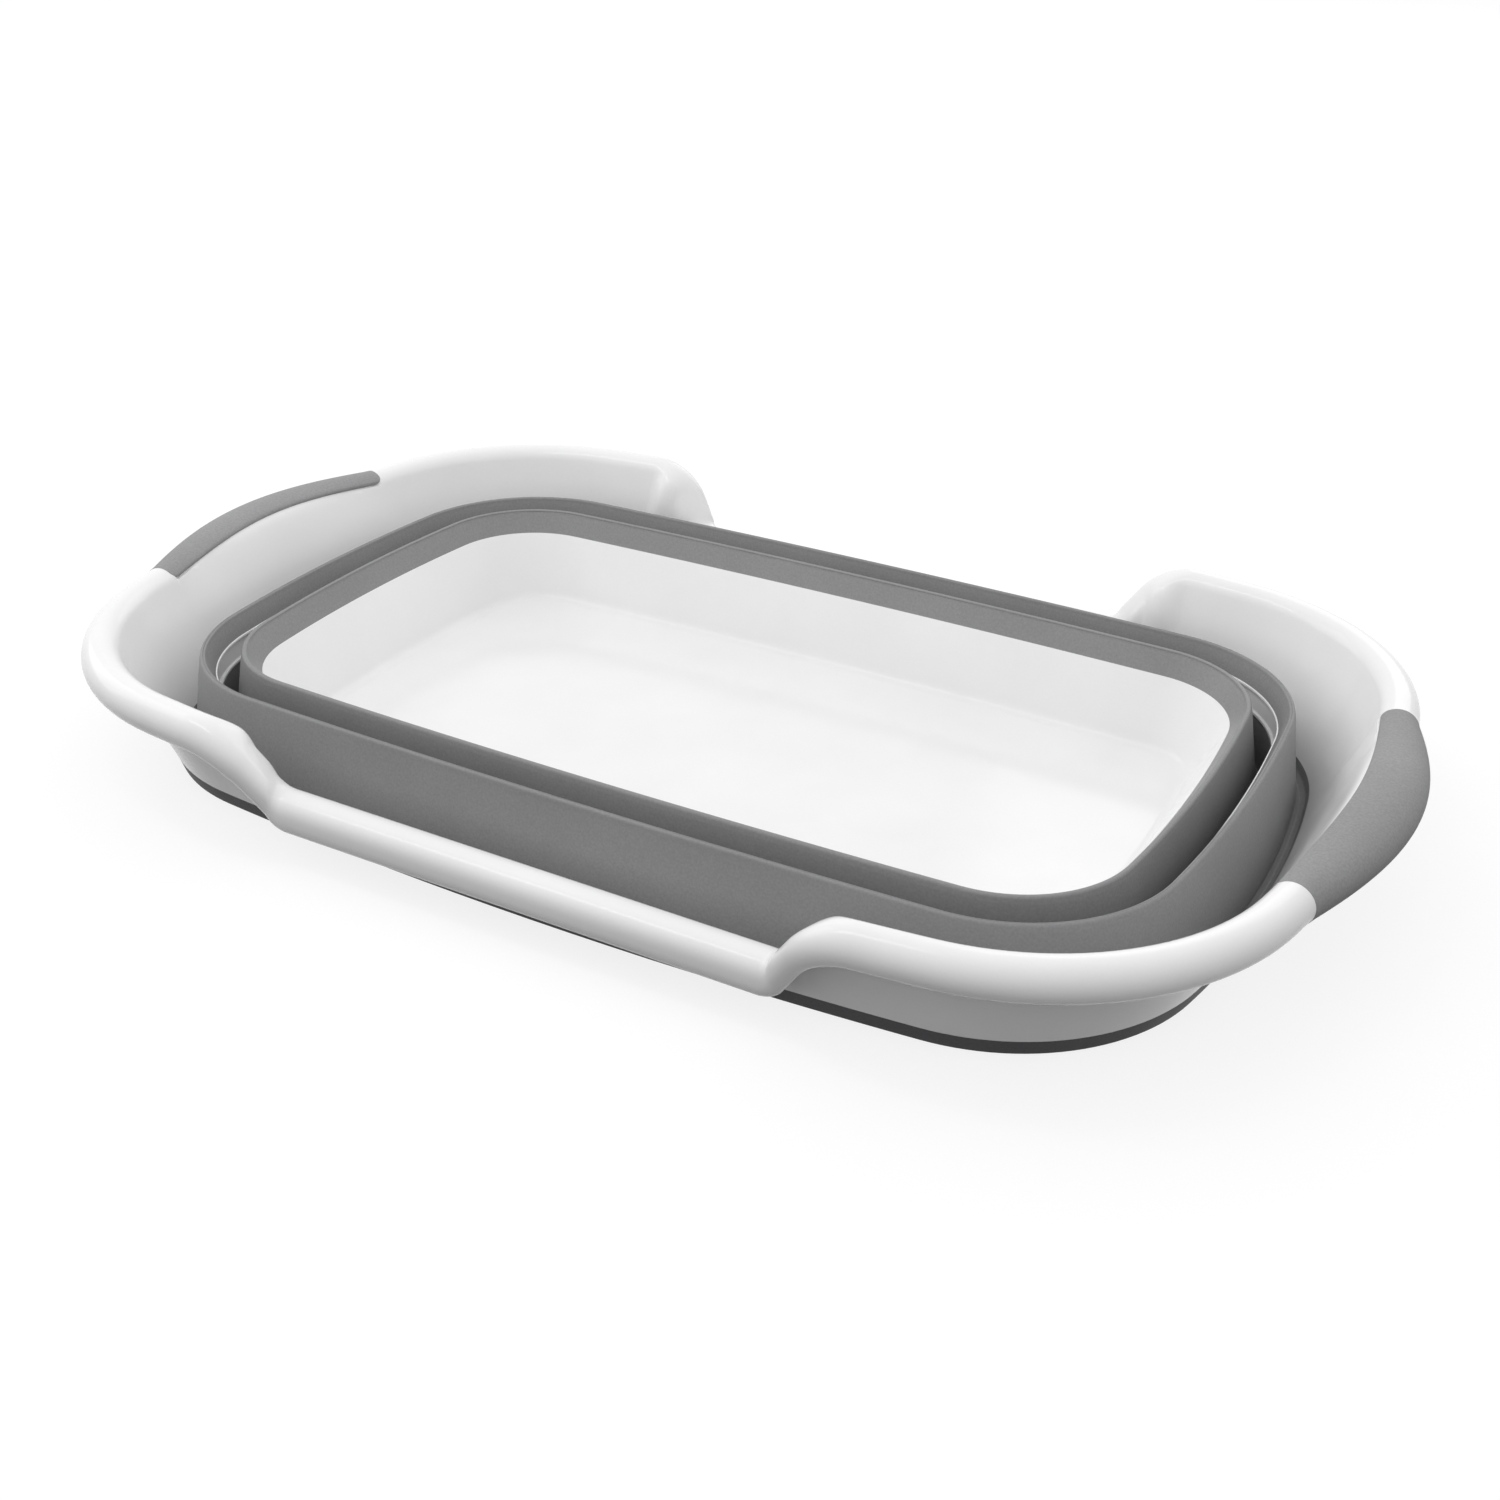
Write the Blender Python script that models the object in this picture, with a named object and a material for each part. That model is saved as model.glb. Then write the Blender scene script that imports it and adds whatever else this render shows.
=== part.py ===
"""Collapsible baby bath, modelled folded flat.

A rigid tray, a rigid middle ring and a rigid rim frame are joined by two folding bellows of soft elastomer.
Each bellows is one moulding. It is split here into the collar on its lower edge, the web that turns inside
out, and the crest collar, so that each tier can slide up on its own.

Metres, +Z up. The origin is the middle of the footprint on the floor. The grips are at -X and +X, and the
near long side is -Y.
"""

import math
from dataclasses import dataclass

import bmesh
import bpy
from mathutils import Vector

# Mouth of the tray, where its white wall meets the inner bellows. All other outlines step out from it.
MOUTH_HALF_LENGTH = 0.2278
MOUTH_HALF_WIDTH = 0.1231
MOUTH_END_RADIUS = 0.75
MOUTH_CORNER_RADIUS = 0.0484
MOUTH_SIDE_RADIUS = 4.69

# Tray.
FLOOR_THICKNESS = 0.0025
FOOT_RING_HEIGHT = 0.001
FOOT_RING_WIDTH = 0.014
FOOT_RING_BEVEL = 0.0025
TRAY_DRAFT_ENDS = 0.0184
TRAY_DRAFT_SIDES = 0.0135
TRAY_FILLET = 0.009
RIGID_WALL = 0.0028
EDGE_THICKNESS = 0.004

# Folds of the two bellows, which stand at one height. Every crest is alike, and so is every trough.
CREST_HEIGHT = 0.0495
CREST_COLLAR_HEIGHT = 0.0115
CREST_CAP_HEIGHT = 0.003
CREST_HALF_WIDTH = 0.002
CREST_FLAT = 0.001
WEB_THICKNESS = 0.0018
WEB_ROOT_HEIGHT = 0.0055
TROUGH_HEIGHT = 0.0022
TROUGH_WIDTH = 0.002

# Steps outwards from the mouth, folded flat.
INNER_CREST_STEP = 0.0072
INNER_WEB_STEP = 0.0165
RING_STEP = 0.0202
RING_LEAN = 0.002
OUTER_CREST_STEP = 0.0272

# Middle ring.
RING_TOP_DROP = 0.0097
RING_HEIGHT = 0.0116
RING_TONGUE_DEPTH = 0.012

# Tongue of each rigid edge, which the soft collar is moulded round.
TONGUE_THICKNESS = 0.001
TONGUE_DEPTH = 0.004
SEAM_GAP = 0.0003

# Foot of the rim frame's wall, stepped out from the outer crest, and the collar under it.
FOOT_STEP_ENDS = 0.0206
FOOT_STEP_SIDES = 0.0262
FOOT_END_RADIUS = 0.51
FOOT_SIDE_RADIUS = 1.97
FOOT_COLLAR_HEIGHT = 0.008
FOOT_COLLAR_FLARE = 0.0026
FOOT_WALL = 0.0045
FOOT_COLLAR_SLOPE = 0.0013
OUTER_WEB_INSET = 0.0104

# Roll along the top of the rim frame: high wings at both ends, low rails along both sides.
ROLL_RADIUS = 0.0094
ROLL_WALL = 0.0027
WING_STEP_ENDS = 0.0285
WING_STEP_SIDES = 0.0256
WING_CORNER_STEP = 0.021
WING_END_RADIUS = 0.5445
WING_SIDE_RADIUS = 1.613
WING_HEIGHT = 0.0559
RAIL_STEP = 0.0073
RAIL_HEIGHT = 0.0229
RAIL_HALF_LENGTH = 0.122

# Each rise is a hollow arc, a straight slope and a rounded shoulder.
RISE_FOOT_RADIUS = 0.0129
RISE_SHOULDER_RADIUS = 0.0301
RISE_ANGLE = 55.8

# Soft grips over the roll at both ends. Each fills a shallow recess and swells towards its middle, where it
# is also set outwards and upwards.
GRIP_HALF_LENGTH = 0.0845
GRIP_RECESS = 0.0015
GRIP_SWELL_ACROSS = 0.0071
GRIP_SWELL_UP = 0.0024
GRIP_SHIFT_OUT = 0.0056
GRIP_SHIFT_UP = 0.0024
RECESS_RAMP = 0.0004

# Angles round the roll, in degrees from its outer side, over the top to its inner side. The wall runs into
# the roll at its inner side, the recess starts just past that, and the free lip curls under. The inner edge
# of a grip climbs towards the top in its middle.
WALL_ANGLE = 160
RECESS_ANGLE = 154
LIP_ANGLE = -60
GRIP_MARGIN_ANGLE = 3
RECESS_STEP_ANGLE = 5
GRIP_CLIMB_ANGLE = 22
ROLL_STEPS = 8
BORE_STEPS = 6

# Edges that fold by more than this many degrees are shaded as sharp.
SHARP_ANGLE = 35

# Shares of the rise's slope: how far its section leans, thins, and widens towards the inside of the bath.
LEAN_SHARE = 0.27
THIN_SHARE = 0.07
INNER_SPREAD_SHARE = 1.2

# Exponents of the roll's section: round on the wings, nearly square on the rails.
WING_POWER = 2.0
RAIL_POWER = 2.5

# Places round half an outline, as shares. A side counts 0 to 1 along the rail, 1 to 2 up the rise
# and 2 to 3 on to the corner. An end counts -1 to 1 from its near to its far corner, and a grip from one of
# its ends to the other.
PLAIN_SIDE_SHARES = (0.0, 0.5, 1.0, 1.9, 2.6)
PLAIN_CORNER_SHARES = (0.0, 0.17, 0.34, 0.5, 0.66, 0.83, 1.0)
PLAIN_END_SHARES = (-0.5, 0.0, 0.5)
RIM_SIDE_SHARES = (0.0, 0.5, 0.9, 1.0, 1.08, 1.16, 1.24, 1.34, 1.45, 1.57, 1.7, 1.85, 2.0, 2.5)
RIM_CORNER_SHARES = (0.0, 0.14, 0.28, 0.43, 0.57, 0.71, 0.86, 1.0)
GRIP_MIDDLE_SHARES = (-0.84, -0.64, -0.42, -0.21, 0.0, 0.21, 0.42, 0.64, 0.84)

# Places within one section, as shares of the way between two of its points.
MIDDLE_SHARE = 0.5
FILLET_SHARES = (0.25, 0.5, 0.75)
GROOVE_INNER_SHARE = 0.3
GROOVE_OUTER_SHARE = 0.7
CREST_SHOULDER_SHARE = 0.83
TRAY_BAND_SHARE = 0.86
TRAY_WALL_TOP_SHARE = 0.78
TRAY_WALL_FOOT_SHARE = 0.15


@dataclass(frozen=True)
class Outline:
    """A closed oval: each quarter is an end arc, a corner arc and a side arc, tangent to each other."""

    half_length: float
    half_width: float
    end_radius: float
    corner_radius: float
    side_radius: float

    def grown(self, distance):
        """Return the parallel outline that lies this far outside."""
        return Outline(
            self.half_length + distance,
            self.half_width + distance,
            self.end_radius + distance,
            self.corner_radius + distance,
            self.side_radius + distance,
        )

    def corner_centre(self):
        """Return the centre of the corner arc, which touches the end arc and the side arc from inside."""
        end_centre = Vector((self.half_length - self.end_radius, 0))
        side_centre = Vector((0, self.half_width - self.side_radius))
        to_end = self.end_radius - self.corner_radius
        to_side = self.side_radius - self.corner_radius
        between = side_centre - end_centre
        along = (to_end ** 2 - to_side ** 2 + between.length_squared) / (2 * between.length)
        across = math.sqrt(to_end ** 2 - along ** 2)
        direction = between.normalized()
        return end_centre + direction * along + Vector((-direction.y, direction.x)) * across

    def end_angle(self):
        """Return half the angle of the end arc."""
        centre = self.corner_centre()
        return math.atan2(centre.y, centre.x - self.half_length + self.end_radius)

    def side_angle(self):
        """Return the direction in which the corner arc meets the side arc."""
        centre = self.corner_centre()
        return math.atan2(centre.y - self.half_width + self.side_radius, centre.x)

    def end_point(self, share):
        """Return a point of the end arc, at a share of its half angle."""
        angle = self.end_angle() * share
        across = self.end_radius * math.cos(angle) + self.half_length - self.end_radius
        return Vector((across, self.end_radius * math.sin(angle)))

    def corner_point(self, share):
        """Return a point of the corner arc, from the end arc at 0 to the side arc at 1."""
        angle = self.end_angle() + (self.side_angle() - self.end_angle()) * share
        return self.corner_centre() + self.corner_radius * Vector((math.cos(angle), math.sin(angle)))

    def side_point(self, share):
        """Return a point of the side arc, at a share that counts 0 to 3 from its middle."""
        corner_x = self.side_radius * math.cos(self.side_angle())
        if share <= 1:
            across = RAIL_HALF_LENGTH * share
        elif share <= 2:
            across = RAIL_HALF_LENGTH + RISE_LENGTH * (share - 1)
        else:
            wing_start = RAIL_HALF_LENGTH + RISE_LENGTH
            across = wing_start + (corner_x - wing_start) * (share - 2)
        rise = math.sqrt(self.side_radius ** 2 - across ** 2) + self.half_width - self.side_radius
        return Vector((across, rise))

    def ring(self, side_shares, corner_shares, end_shares):
        """Return the points round the whole outline, anticlockwise from the middle of the near side."""
        far_sides = [self.side_point(share) for share in side_shares]
        far_corners = [self.corner_point(share) for share in corner_shares]
        near_sides = [Vector((point.x, -point.y)) for point in far_sides]
        near_corners = [Vector((point.x, -point.y)) for point in reversed(far_corners)]
        ends = [self.end_point(share) for share in end_shares]
        half = near_sides + near_corners + ends + far_corners + far_sides[::-1]
        return half + [Vector((-point.x, point.y)) for point in half[-2:0:-1]]


def stepped(outline, ends, sides, corner, end_radius, side_radius):
    """Return an outline that stands out by its own step at the ends, the sides and the corners."""
    return Outline(
        outline.half_length + ends,
        outline.half_width + sides,
        end_radius,
        outline.corner_radius + corner,
        side_radius,
    )


MOUTH = Outline(MOUTH_HALF_LENGTH, MOUTH_HALF_WIDTH, MOUTH_END_RADIUS, MOUTH_CORNER_RADIUS, MOUTH_SIDE_RADIUS)
FLOOR = stepped(
    MOUTH, -TRAY_DRAFT_ENDS, -TRAY_DRAFT_SIDES, -TRAY_DRAFT_ENDS, MOUTH_END_RADIUS, MOUTH_SIDE_RADIUS
)
INNER_CREST = MOUTH.grown(INNER_CREST_STEP)
INNER_WEB_ROOT = MOUTH.grown(INNER_WEB_STEP)
RING = MOUTH.grown(RING_STEP)
OUTER_CREST = MOUTH.grown(OUTER_CREST_STEP)
RISE_HEIGHT = WING_HEIGHT - RAIL_HEIGHT
RISE_SLOPE = math.radians(RISE_ANGLE)
RISE_ARCS_HEIGHT = (RISE_FOOT_RADIUS + RISE_SHOULDER_RADIUS) * (1 - math.cos(RISE_SLOPE))
RISE_STRAIGHT = (RISE_HEIGHT - RISE_ARCS_HEIGHT) / math.tan(RISE_SLOPE)
RISE_FOOT_LENGTH = RISE_FOOT_RADIUS * math.sin(RISE_SLOPE)
RISE_SHOULDER_LENGTH = RISE_SHOULDER_RADIUS * math.sin(RISE_SLOPE)
RISE_LENGTH = RISE_FOOT_LENGTH + RISE_STRAIGHT + RISE_SHOULDER_LENGTH
WALL_FOOT = stepped(
    OUTER_CREST, FOOT_STEP_ENDS, FOOT_STEP_SIDES, FOOT_STEP_ENDS, FOOT_END_RADIUS, FOOT_SIDE_RADIUS
)
OUTER_WEB_ROOT = WALL_FOOT.grown(-OUTER_WEB_INSET)
WING = stepped(
    WALL_FOOT, WING_STEP_ENDS, WING_STEP_SIDES, WING_CORNER_STEP, WING_END_RADIUS, WING_SIDE_RADIUS
)

MOUTH_HEIGHT = CREST_HEIGHT - CREST_COLLAR_HEIGHT
CREST_ROOT_HEIGHT = CREST_HEIGHT - CREST_CAP_HEIGHT
RING_TOP = CREST_HEIGHT - RING_TOP_DROP
RING_BOTTOM = RING_TOP - RING_HEIGHT
FLOOR_TOP = FOOT_RING_HEIGHT + FLOOR_THICKNESS


def loop(outline, offset, height):
    """Return a closed loop of points: an outline grown by an offset, at one height."""
    points = outline.grown(offset).ring(PLAIN_SIDE_SHARES, PLAIN_CORNER_SHARES, PLAIN_END_SHARES)
    return [point.to_3d() + Vector((0, 0, height)) for point in points]


def mix(low, high, share):
    """Return the loop that lies a share of the way from one loop to another."""
    return [a.lerp(b, share) for a, b in zip(low, high)]


def extrude_loop(bm, verts, edges, points):
    """Extrude one edge loop and put its new vertices at the given points.

    Returns the new vertices, in order, and the new edges.
    """
    made = bmesh.ops.extrude_edge_only(bm, edges=edges)["geom"]
    fresh = {item for item in made if isinstance(item, bmesh.types.BMVert)}
    lifted = []
    for vert, point in zip(verts, points):
        twin = next(edge.other_vert(vert) for edge in vert.link_edges if edge.other_vert(vert) in fresh)
        twin.co = point
        lifted.append(twin)
    rim = [item for item in made if isinstance(item, bmesh.types.BMEdge) and set(item.verts) <= fresh]
    return lifted, rim


def skin(name, loops, material, carrier, closed=True):
    """Make a closed solid by extruding a loop through a list of loops.

    A closed skin joins its last loop to its first. An open one has a flat face over each end.
    """
    bm = bmesh.new()
    verts = [bm.verts.new(point) for point in loops[0]]
    edges = [bm.edges.new((verts[i - 1], verts[i])) for i in range(len(verts))]
    first_verts, first_edges = verts, edges
    for points in loops[1:]:
        verts, edges = extrude_loop(bm, verts, edges, points)
    if closed:
        bmesh.ops.bridge_loops(bm, edges=first_edges + edges)
    else:
        bm.faces.new(first_verts)
        bm.faces.new(verts)
    bmesh.ops.recalc_face_normals(bm, faces=bm.faces)
    mesh = bpy.data.meshes.new(name)
    bm.to_mesh(mesh)
    bm.free()
    mesh.materials.append(material)
    mesh.shade_smooth()
    mesh.set_sharp_from_angle(angle=math.radians(SHARP_ANGLE))
    piece = bpy.data.objects.new(name, mesh)
    piece.parent = carrier
    bpy.context.collection.objects.link(piece)
    return piece


def plastic(name, colour, roughness):
    """Return a Principled material of one colour."""
    material = bpy.data.materials.new(name)
    material.use_nodes = True
    shader = material.node_tree.nodes["Principled BSDF"]
    shader.inputs["Base Color"].default_value = (*colour, 1)
    shader.inputs["Roughness"].default_value = roughness
    shader.inputs["Metallic"].default_value = 0
    return material


@dataclass
class Collar:
    """The four corner loops of a soft collar, where the rigid edge butts against it and at its far end."""

    inner_edge: list
    outer_edge: list
    inner_end: list
    outer_end: list

    def at(self, across, along):
        """Return the loop at a share across the thickness and a share of the way from edge to end."""
        inner = mix(self.inner_edge, self.inner_end, along)
        outer = mix(self.outer_edge, self.outer_end, along)
        return mix(inner, outer, across)

    def depth(self, distance):
        """Return the share along the collar that a height from its edge makes."""
        return distance / abs(self.inner_end[0].z - self.inner_edge[0].z)

    def groove(self, depth):
        """Return the four loops of the groove in the collar's edge, from its inner to its outer side."""
        end = self.depth(depth + SEAM_GAP)
        return [
            self.at(GROOVE_INNER_SHARE, 0),
            self.at(GROOVE_INNER_SHARE, end),
            self.at(GROOVE_OUTER_SHARE, end),
            self.at(GROOVE_OUTER_SHARE, 0),
        ]

    def tongue(self, depth):
        """Return the four loops of the rigid tongue that fills the groove with a gap all round."""
        middle_share = (GROOVE_INNER_SHARE + GROOVE_OUTER_SHARE) / 2
        half_share = TONGUE_THICKNESS / EDGE_THICKNESS / 2
        start = -self.depth(SEAM_GAP)
        end = self.depth(depth)
        return [
            self.at(middle_share - half_share, start),
            self.at(middle_share - half_share, end),
            self.at(middle_share + half_share, end),
            self.at(middle_share + half_share, start),
        ]


def crest_collar(edge_outline, edge_height, crest):
    """Return the collar that stands on a rigid edge and ends in the fold of a crest."""
    return Collar(
        loop(edge_outline, 0, edge_height),
        loop(edge_outline, EDGE_THICKNESS, edge_height),
        loop(crest, -CREST_HALF_WIDTH, CREST_ROOT_HEIGHT),
        loop(crest, CREST_HALF_WIDTH - WEB_THICKNESS, CREST_ROOT_HEIGHT - WEB_THICKNESS / 2),
    )


def make_crest_collar(name, collar, crest, material, carrier):
    """Make a soft collar with its rounded crest and the stub that the web hangs from."""
    shoulder = CREST_ROOT_HEIGHT + CREST_CAP_HEIGHT * CREST_SHOULDER_SHARE
    loops = [
        collar.inner_edge,
        collar.inner_end,
        loop(crest, -CREST_FLAT, shoulder),
        loop(crest, 0, CREST_HEIGHT),
        loop(crest, CREST_FLAT, shoulder),
        loop(crest, CREST_HALF_WIDTH, CREST_ROOT_HEIGHT),
        loop(crest, CREST_HALF_WIDTH - WEB_THICKNESS / 2, CREST_ROOT_HEIGHT),
        collar.outer_end,
        collar.outer_edge,
    ]
    return skin(name, loops + collar.groove(TONGUE_DEPTH)[::-1], material, carrier)


def make_web(name, crest, root, material, carrier):
    """Make the thin folding web between a crest and a trough, with a gap at both ends."""
    top = CREST_ROOT_HEIGHT - SEAM_GAP
    bottom = WEB_ROOT_HEIGHT + SEAM_GAP
    outer_top = loop(crest, CREST_HALF_WIDTH, top)
    inner_top = loop(crest, CREST_HALF_WIDTH - WEB_THICKNESS / 2, top)
    outer_bottom = loop(root, 0, bottom)
    inner_bottom = loop(root, -WEB_THICKNESS, bottom)
    loops = [
        outer_top,
        mix(outer_top, outer_bottom, MIDDLE_SHARE),
        outer_bottom,
        inner_bottom,
        mix(inner_top, inner_bottom, MIDDLE_SHARE),
        inner_top,
    ]
    return skin(name, loops, material, carrier)


def make_tray(collar, material, carrier):
    """Make the rigid tray: a dish with a flat floor, a leaning wall and a foot ring under it."""
    edge_height = MOUTH_HEIGHT - SEAM_GAP
    floor_corner = loop(FLOOR, 0, FLOOR_TOP)
    mouth_inner = loop(MOUTH, 0, edge_height)
    fillet_start = loop(FLOOR, -TRAY_FILLET, FLOOR_TOP)
    fillet_end = mix(floor_corner, mouth_inner, TRAY_FILLET / (edge_height - FLOOR_TOP))
    fillet = [
        mix(mix(fillet_start, floor_corner, share), mix(floor_corner, fillet_end, share), share)
        for share in FILLET_SHARES
    ]
    band_foot = loop(FLOOR, EDGE_THICKNESS, FLOOR_TOP)
    band_edge = loop(MOUTH, EDGE_THICKNESS, edge_height)
    wall_foot = loop(FLOOR, RIGID_WALL, FLOOR_TOP)
    wall_edge = loop(MOUTH, RIGID_WALL, edge_height)
    loops = [
        fillet_start,
        *fillet,
        fillet_end,
        mouth_inner,
        *collar.tongue(TONGUE_DEPTH),
        band_edge,
        mix(band_foot, band_edge, TRAY_BAND_SHARE),
        mix(wall_foot, wall_edge, TRAY_WALL_TOP_SHARE),
        mix(wall_foot, wall_edge, TRAY_WALL_FOOT_SHARE),
        loop(FLOOR, 0, FOOT_RING_HEIGHT),
        loop(FLOOR, -FOOT_RING_BEVEL, 0),
        loop(FLOOR, -FOOT_RING_WIDTH, 0),
        loop(FLOOR, -FOOT_RING_WIDTH - FOOT_RING_HEIGHT, FOOT_RING_HEIGHT),
    ]
    return skin("tray", loops, material, carrier, closed=False)


def ring_foot_collar():
    """Return the collar under the middle ring, from the ring's lower edge down to the trough."""
    return Collar(
        loop(RING, 0, RING_BOTTOM),
        loop(RING, EDGE_THICKNESS, RING_BOTTOM),
        loop(RING, 0, WEB_ROOT_HEIGHT),
        loop(RING, EDGE_THICKNESS, WEB_ROOT_HEIGHT),
    )


def make_ring_foot_collar(collar, material, carrier):
    """Make the soft collar under the middle ring, with the trough that the inner web rises from."""
    loops = [
        collar.inner_edge,
        collar.inner_end,
        loop(INNER_WEB_ROOT, TROUGH_WIDTH, TROUGH_HEIGHT),
        loop(INNER_WEB_ROOT, 0, TROUGH_HEIGHT + WEB_THICKNESS),
        loop(INNER_WEB_ROOT, 0, WEB_ROOT_HEIGHT),
        loop(INNER_WEB_ROOT, -WEB_THICKNESS, WEB_ROOT_HEIGHT),
        loop(INNER_WEB_ROOT, -WEB_THICKNESS, WEB_THICKNESS),
        loop(INNER_WEB_ROOT, 0, 0),
        loop(RING, EDGE_THICKNESS, 0),
        collar.outer_edge,
    ]
    return skin("inner_foot_collar", loops + collar.groove(RING_TONGUE_DEPTH)[::-1], material, carrier)


def make_middle_ring(upper, lower, material, carrier):
    """Make the rigid middle ring, with a tongue up into one bellows and a deep tongue down into the other."""
    inner_top = loop(RING, RING_LEAN, RING_TOP - SEAM_GAP)
    outer_top = loop(RING, RING_LEAN + EDGE_THICKNESS, RING_TOP - SEAM_GAP)
    inner_bottom = loop(RING, 0, RING_BOTTOM + SEAM_GAP)
    outer_bottom = loop(RING, EDGE_THICKNESS, RING_BOTTOM + SEAM_GAP)
    loops = [
        inner_bottom,
        inner_top,
        *upper.tongue(TONGUE_DEPTH),
        outer_top,
        outer_bottom,
        *lower.tongue(RING_TONGUE_DEPTH)[::-1],
    ]
    return skin("middle_ring", loops, material, carrier)


def make_foot_collar(material, carrier):
    """Make the soft collar under the rim frame's wall, which the bath stands on, with its trough."""
    inner_wall = -FOOT_WALL
    loops = [
        loop(WALL_FOOT, -FOOT_COLLAR_FLARE, 0),
        loop(WALL_FOOT, 0, FOOT_COLLAR_HEIGHT),
        loop(WALL_FOOT, inner_wall, FOOT_COLLAR_HEIGHT),
        loop(WALL_FOOT, inner_wall - FOOT_COLLAR_SLOPE, TROUGH_HEIGHT + WEB_THICKNESS),
        loop(OUTER_WEB_ROOT, TROUGH_WIDTH, TROUGH_HEIGHT),
        loop(OUTER_WEB_ROOT, 0, TROUGH_HEIGHT + WEB_THICKNESS),
        loop(OUTER_WEB_ROOT, 0, WEB_ROOT_HEIGHT),
        loop(OUTER_WEB_ROOT, -WEB_THICKNESS, WEB_ROOT_HEIGHT),
        loop(OUTER_WEB_ROOT, -WEB_THICKNESS, WEB_THICKNESS),
        loop(OUTER_WEB_ROOT, 0, 0),
    ]
    return skin("outer_foot_collar", loops, material, carrier)


@dataclass
class RollStation:
    """One place along the rim's roll.

    It holds the roll's centre, the two directions of its section, how far up to the wing it is, the sine of
    its slope, and how far it swells under a grip.
    """

    centre: Vector
    outward: Vector
    upward: Vector
    wing_share: float = 1
    steepness: float = 0
    swell: float = 0

    def point(self, angle, radius):
        """Return a point of the section, at an angle from the outer side and a radius."""
        cosine = math.cos(math.radians(angle))
        sine = math.sin(math.radians(angle))
        power = RAIL_POWER + (WING_POWER - RAIL_POWER) * self.wing_share
        reach = (1 - THIN_SHARE * self.steepness) / (abs(cosine) ** power + abs(sine) ** power) ** (1 / power)
        spread = 1 + INNER_SPREAD_SHARE * self.steepness if cosine < 0 else 1
        across = (radius + GRIP_SWELL_ACROSS * self.swell) * cosine * reach * spread
        rise = (radius + GRIP_SWELL_UP * self.swell) * sine * reach
        across += GRIP_SHIFT_OUT * self.swell
        rise += GRIP_SHIFT_UP * self.swell
        return self.centre + self.outward * across + self.upward * rise

    def recess_angle(self):
        """Return the angle at which the grip's recess starts."""
        return RECESS_ANGLE - GRIP_CLIMB_ANGLE * self.swell

    def shoulder_point(self):
        """Return the point of the white shoulder just inside the recess."""
        return self.point(self.recess_angle() + RECESS_STEP_ANGLE, ROLL_RADIUS)


def grip_shares():
    """Return the places round an end of the rim, with a close pair at each end of the grip's recess."""
    reach = math.asin(GRIP_HALF_LENGTH / WING_END_RADIUS) / WING.end_angle()
    ramp = RECESS_RAMP / WING_END_RADIUS / WING.end_angle()
    middle = [reach * share for share in GRIP_MIDDLE_SHARES]
    return [-reach - ramp, -reach, *middle, reach, reach + ramp]


def grip_swell(distance):
    """Return the share of the full swell at a distance from the middle of an end."""
    return math.cos(math.pi / 2 * min(distance / GRIP_HALF_LENGTH, 1))


def rim_points(outline, end_shares):
    """Return the points round an outline at the rim frame's own, closer places."""
    return outline.ring(RIM_SIDE_SHARES, RIM_CORNER_SHARES, end_shares)


def fan(start, end, steps):
    """Return evenly spaced angles from start to end."""
    return [start + (end - start) * step / steps for step in range(steps + 1)]


def rise_share(distance):
    """Return how far up the rise the roll is, 0 on the rail and 1 on the wing, and the angle of its slope."""
    along = min(max(distance - RAIL_HALF_LENGTH, 0), RISE_LENGTH)
    left = RISE_LENGTH - along
    if along < RISE_FOOT_LENGTH:
        slope = math.asin(along / RISE_FOOT_RADIUS)
        height = RISE_FOOT_RADIUS * (1 - math.cos(slope))
    elif left < RISE_SHOULDER_LENGTH:
        slope = math.asin(left / RISE_SHOULDER_RADIUS)
        height = RISE_HEIGHT - RISE_SHOULDER_RADIUS * (1 - math.cos(slope))
    else:
        slope = RISE_SLOPE
        foot_height = RISE_FOOT_RADIUS * (1 - math.cos(slope))
        height = foot_height + (along - RISE_FOOT_LENGTH) * math.tan(slope)
    return height / RISE_HEIGHT, slope


def on_wing(centre):
    """Say whether a place on the roll lies past the rise, on a wing."""
    return abs(centre.x) > RAIL_HALF_LENGTH + RISE_LENGTH


def end_station(point, side):
    """Return the station of the roll at a point of the wing's end arc, on the +X or the -X end."""
    arc_centre = Vector((side * (WING.half_length - WING.end_radius), 0, 0))
    centre = Vector((point.x, point.y, WING_HEIGHT))
    outward = Vector((point.x, point.y, 0)) - arc_centre
    return RollStation(centre, outward.normalized(), Vector((0, 0, 1)), swell=grip_swell(abs(point.y)))


def side_station(point, along):
    """Return the station of the roll at a point of a corner or a side, with the direction along the roll."""
    share, slope = rise_share(abs(point.x))
    lean = math.copysign(slope * LEAN_SHARE, point.x)
    outward = Vector((along.y, -along.x, 0)).normalized()
    upward = Vector((-math.sin(lean), 0, math.cos(lean)))
    return RollStation(point, outward, upward, share, math.sin(slope))


def roll_stations(end_shares):
    """Return the stations of the roll, anticlockwise from the middle of the near side."""
    rail_line = WALL_FOOT.half_width + RAIL_STEP
    end_reach = abs(WING.end_point(1).y)
    centres = []
    for point in rim_points(WING, end_shares):
        share = rise_share(abs(point.x))[0]
        across = rail_line + (abs(point.y) - rail_line) * share if share < 1 else abs(point.y)
        centres.append(Vector((point.x, math.copysign(across, point.y), RAIL_HEIGHT + RISE_HEIGHT * share)))
    stations = []
    for index, centre in enumerate(centres):
        along = centres[(index + 1) % len(centres)] - centres[index - 1]
        if on_wing(centre) and abs(centre.y) < end_reach:
            stations.append(end_station(centre, math.copysign(1, centre.x)))
        else:
            stations.append(side_station(centre, along))
    return stations


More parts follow.
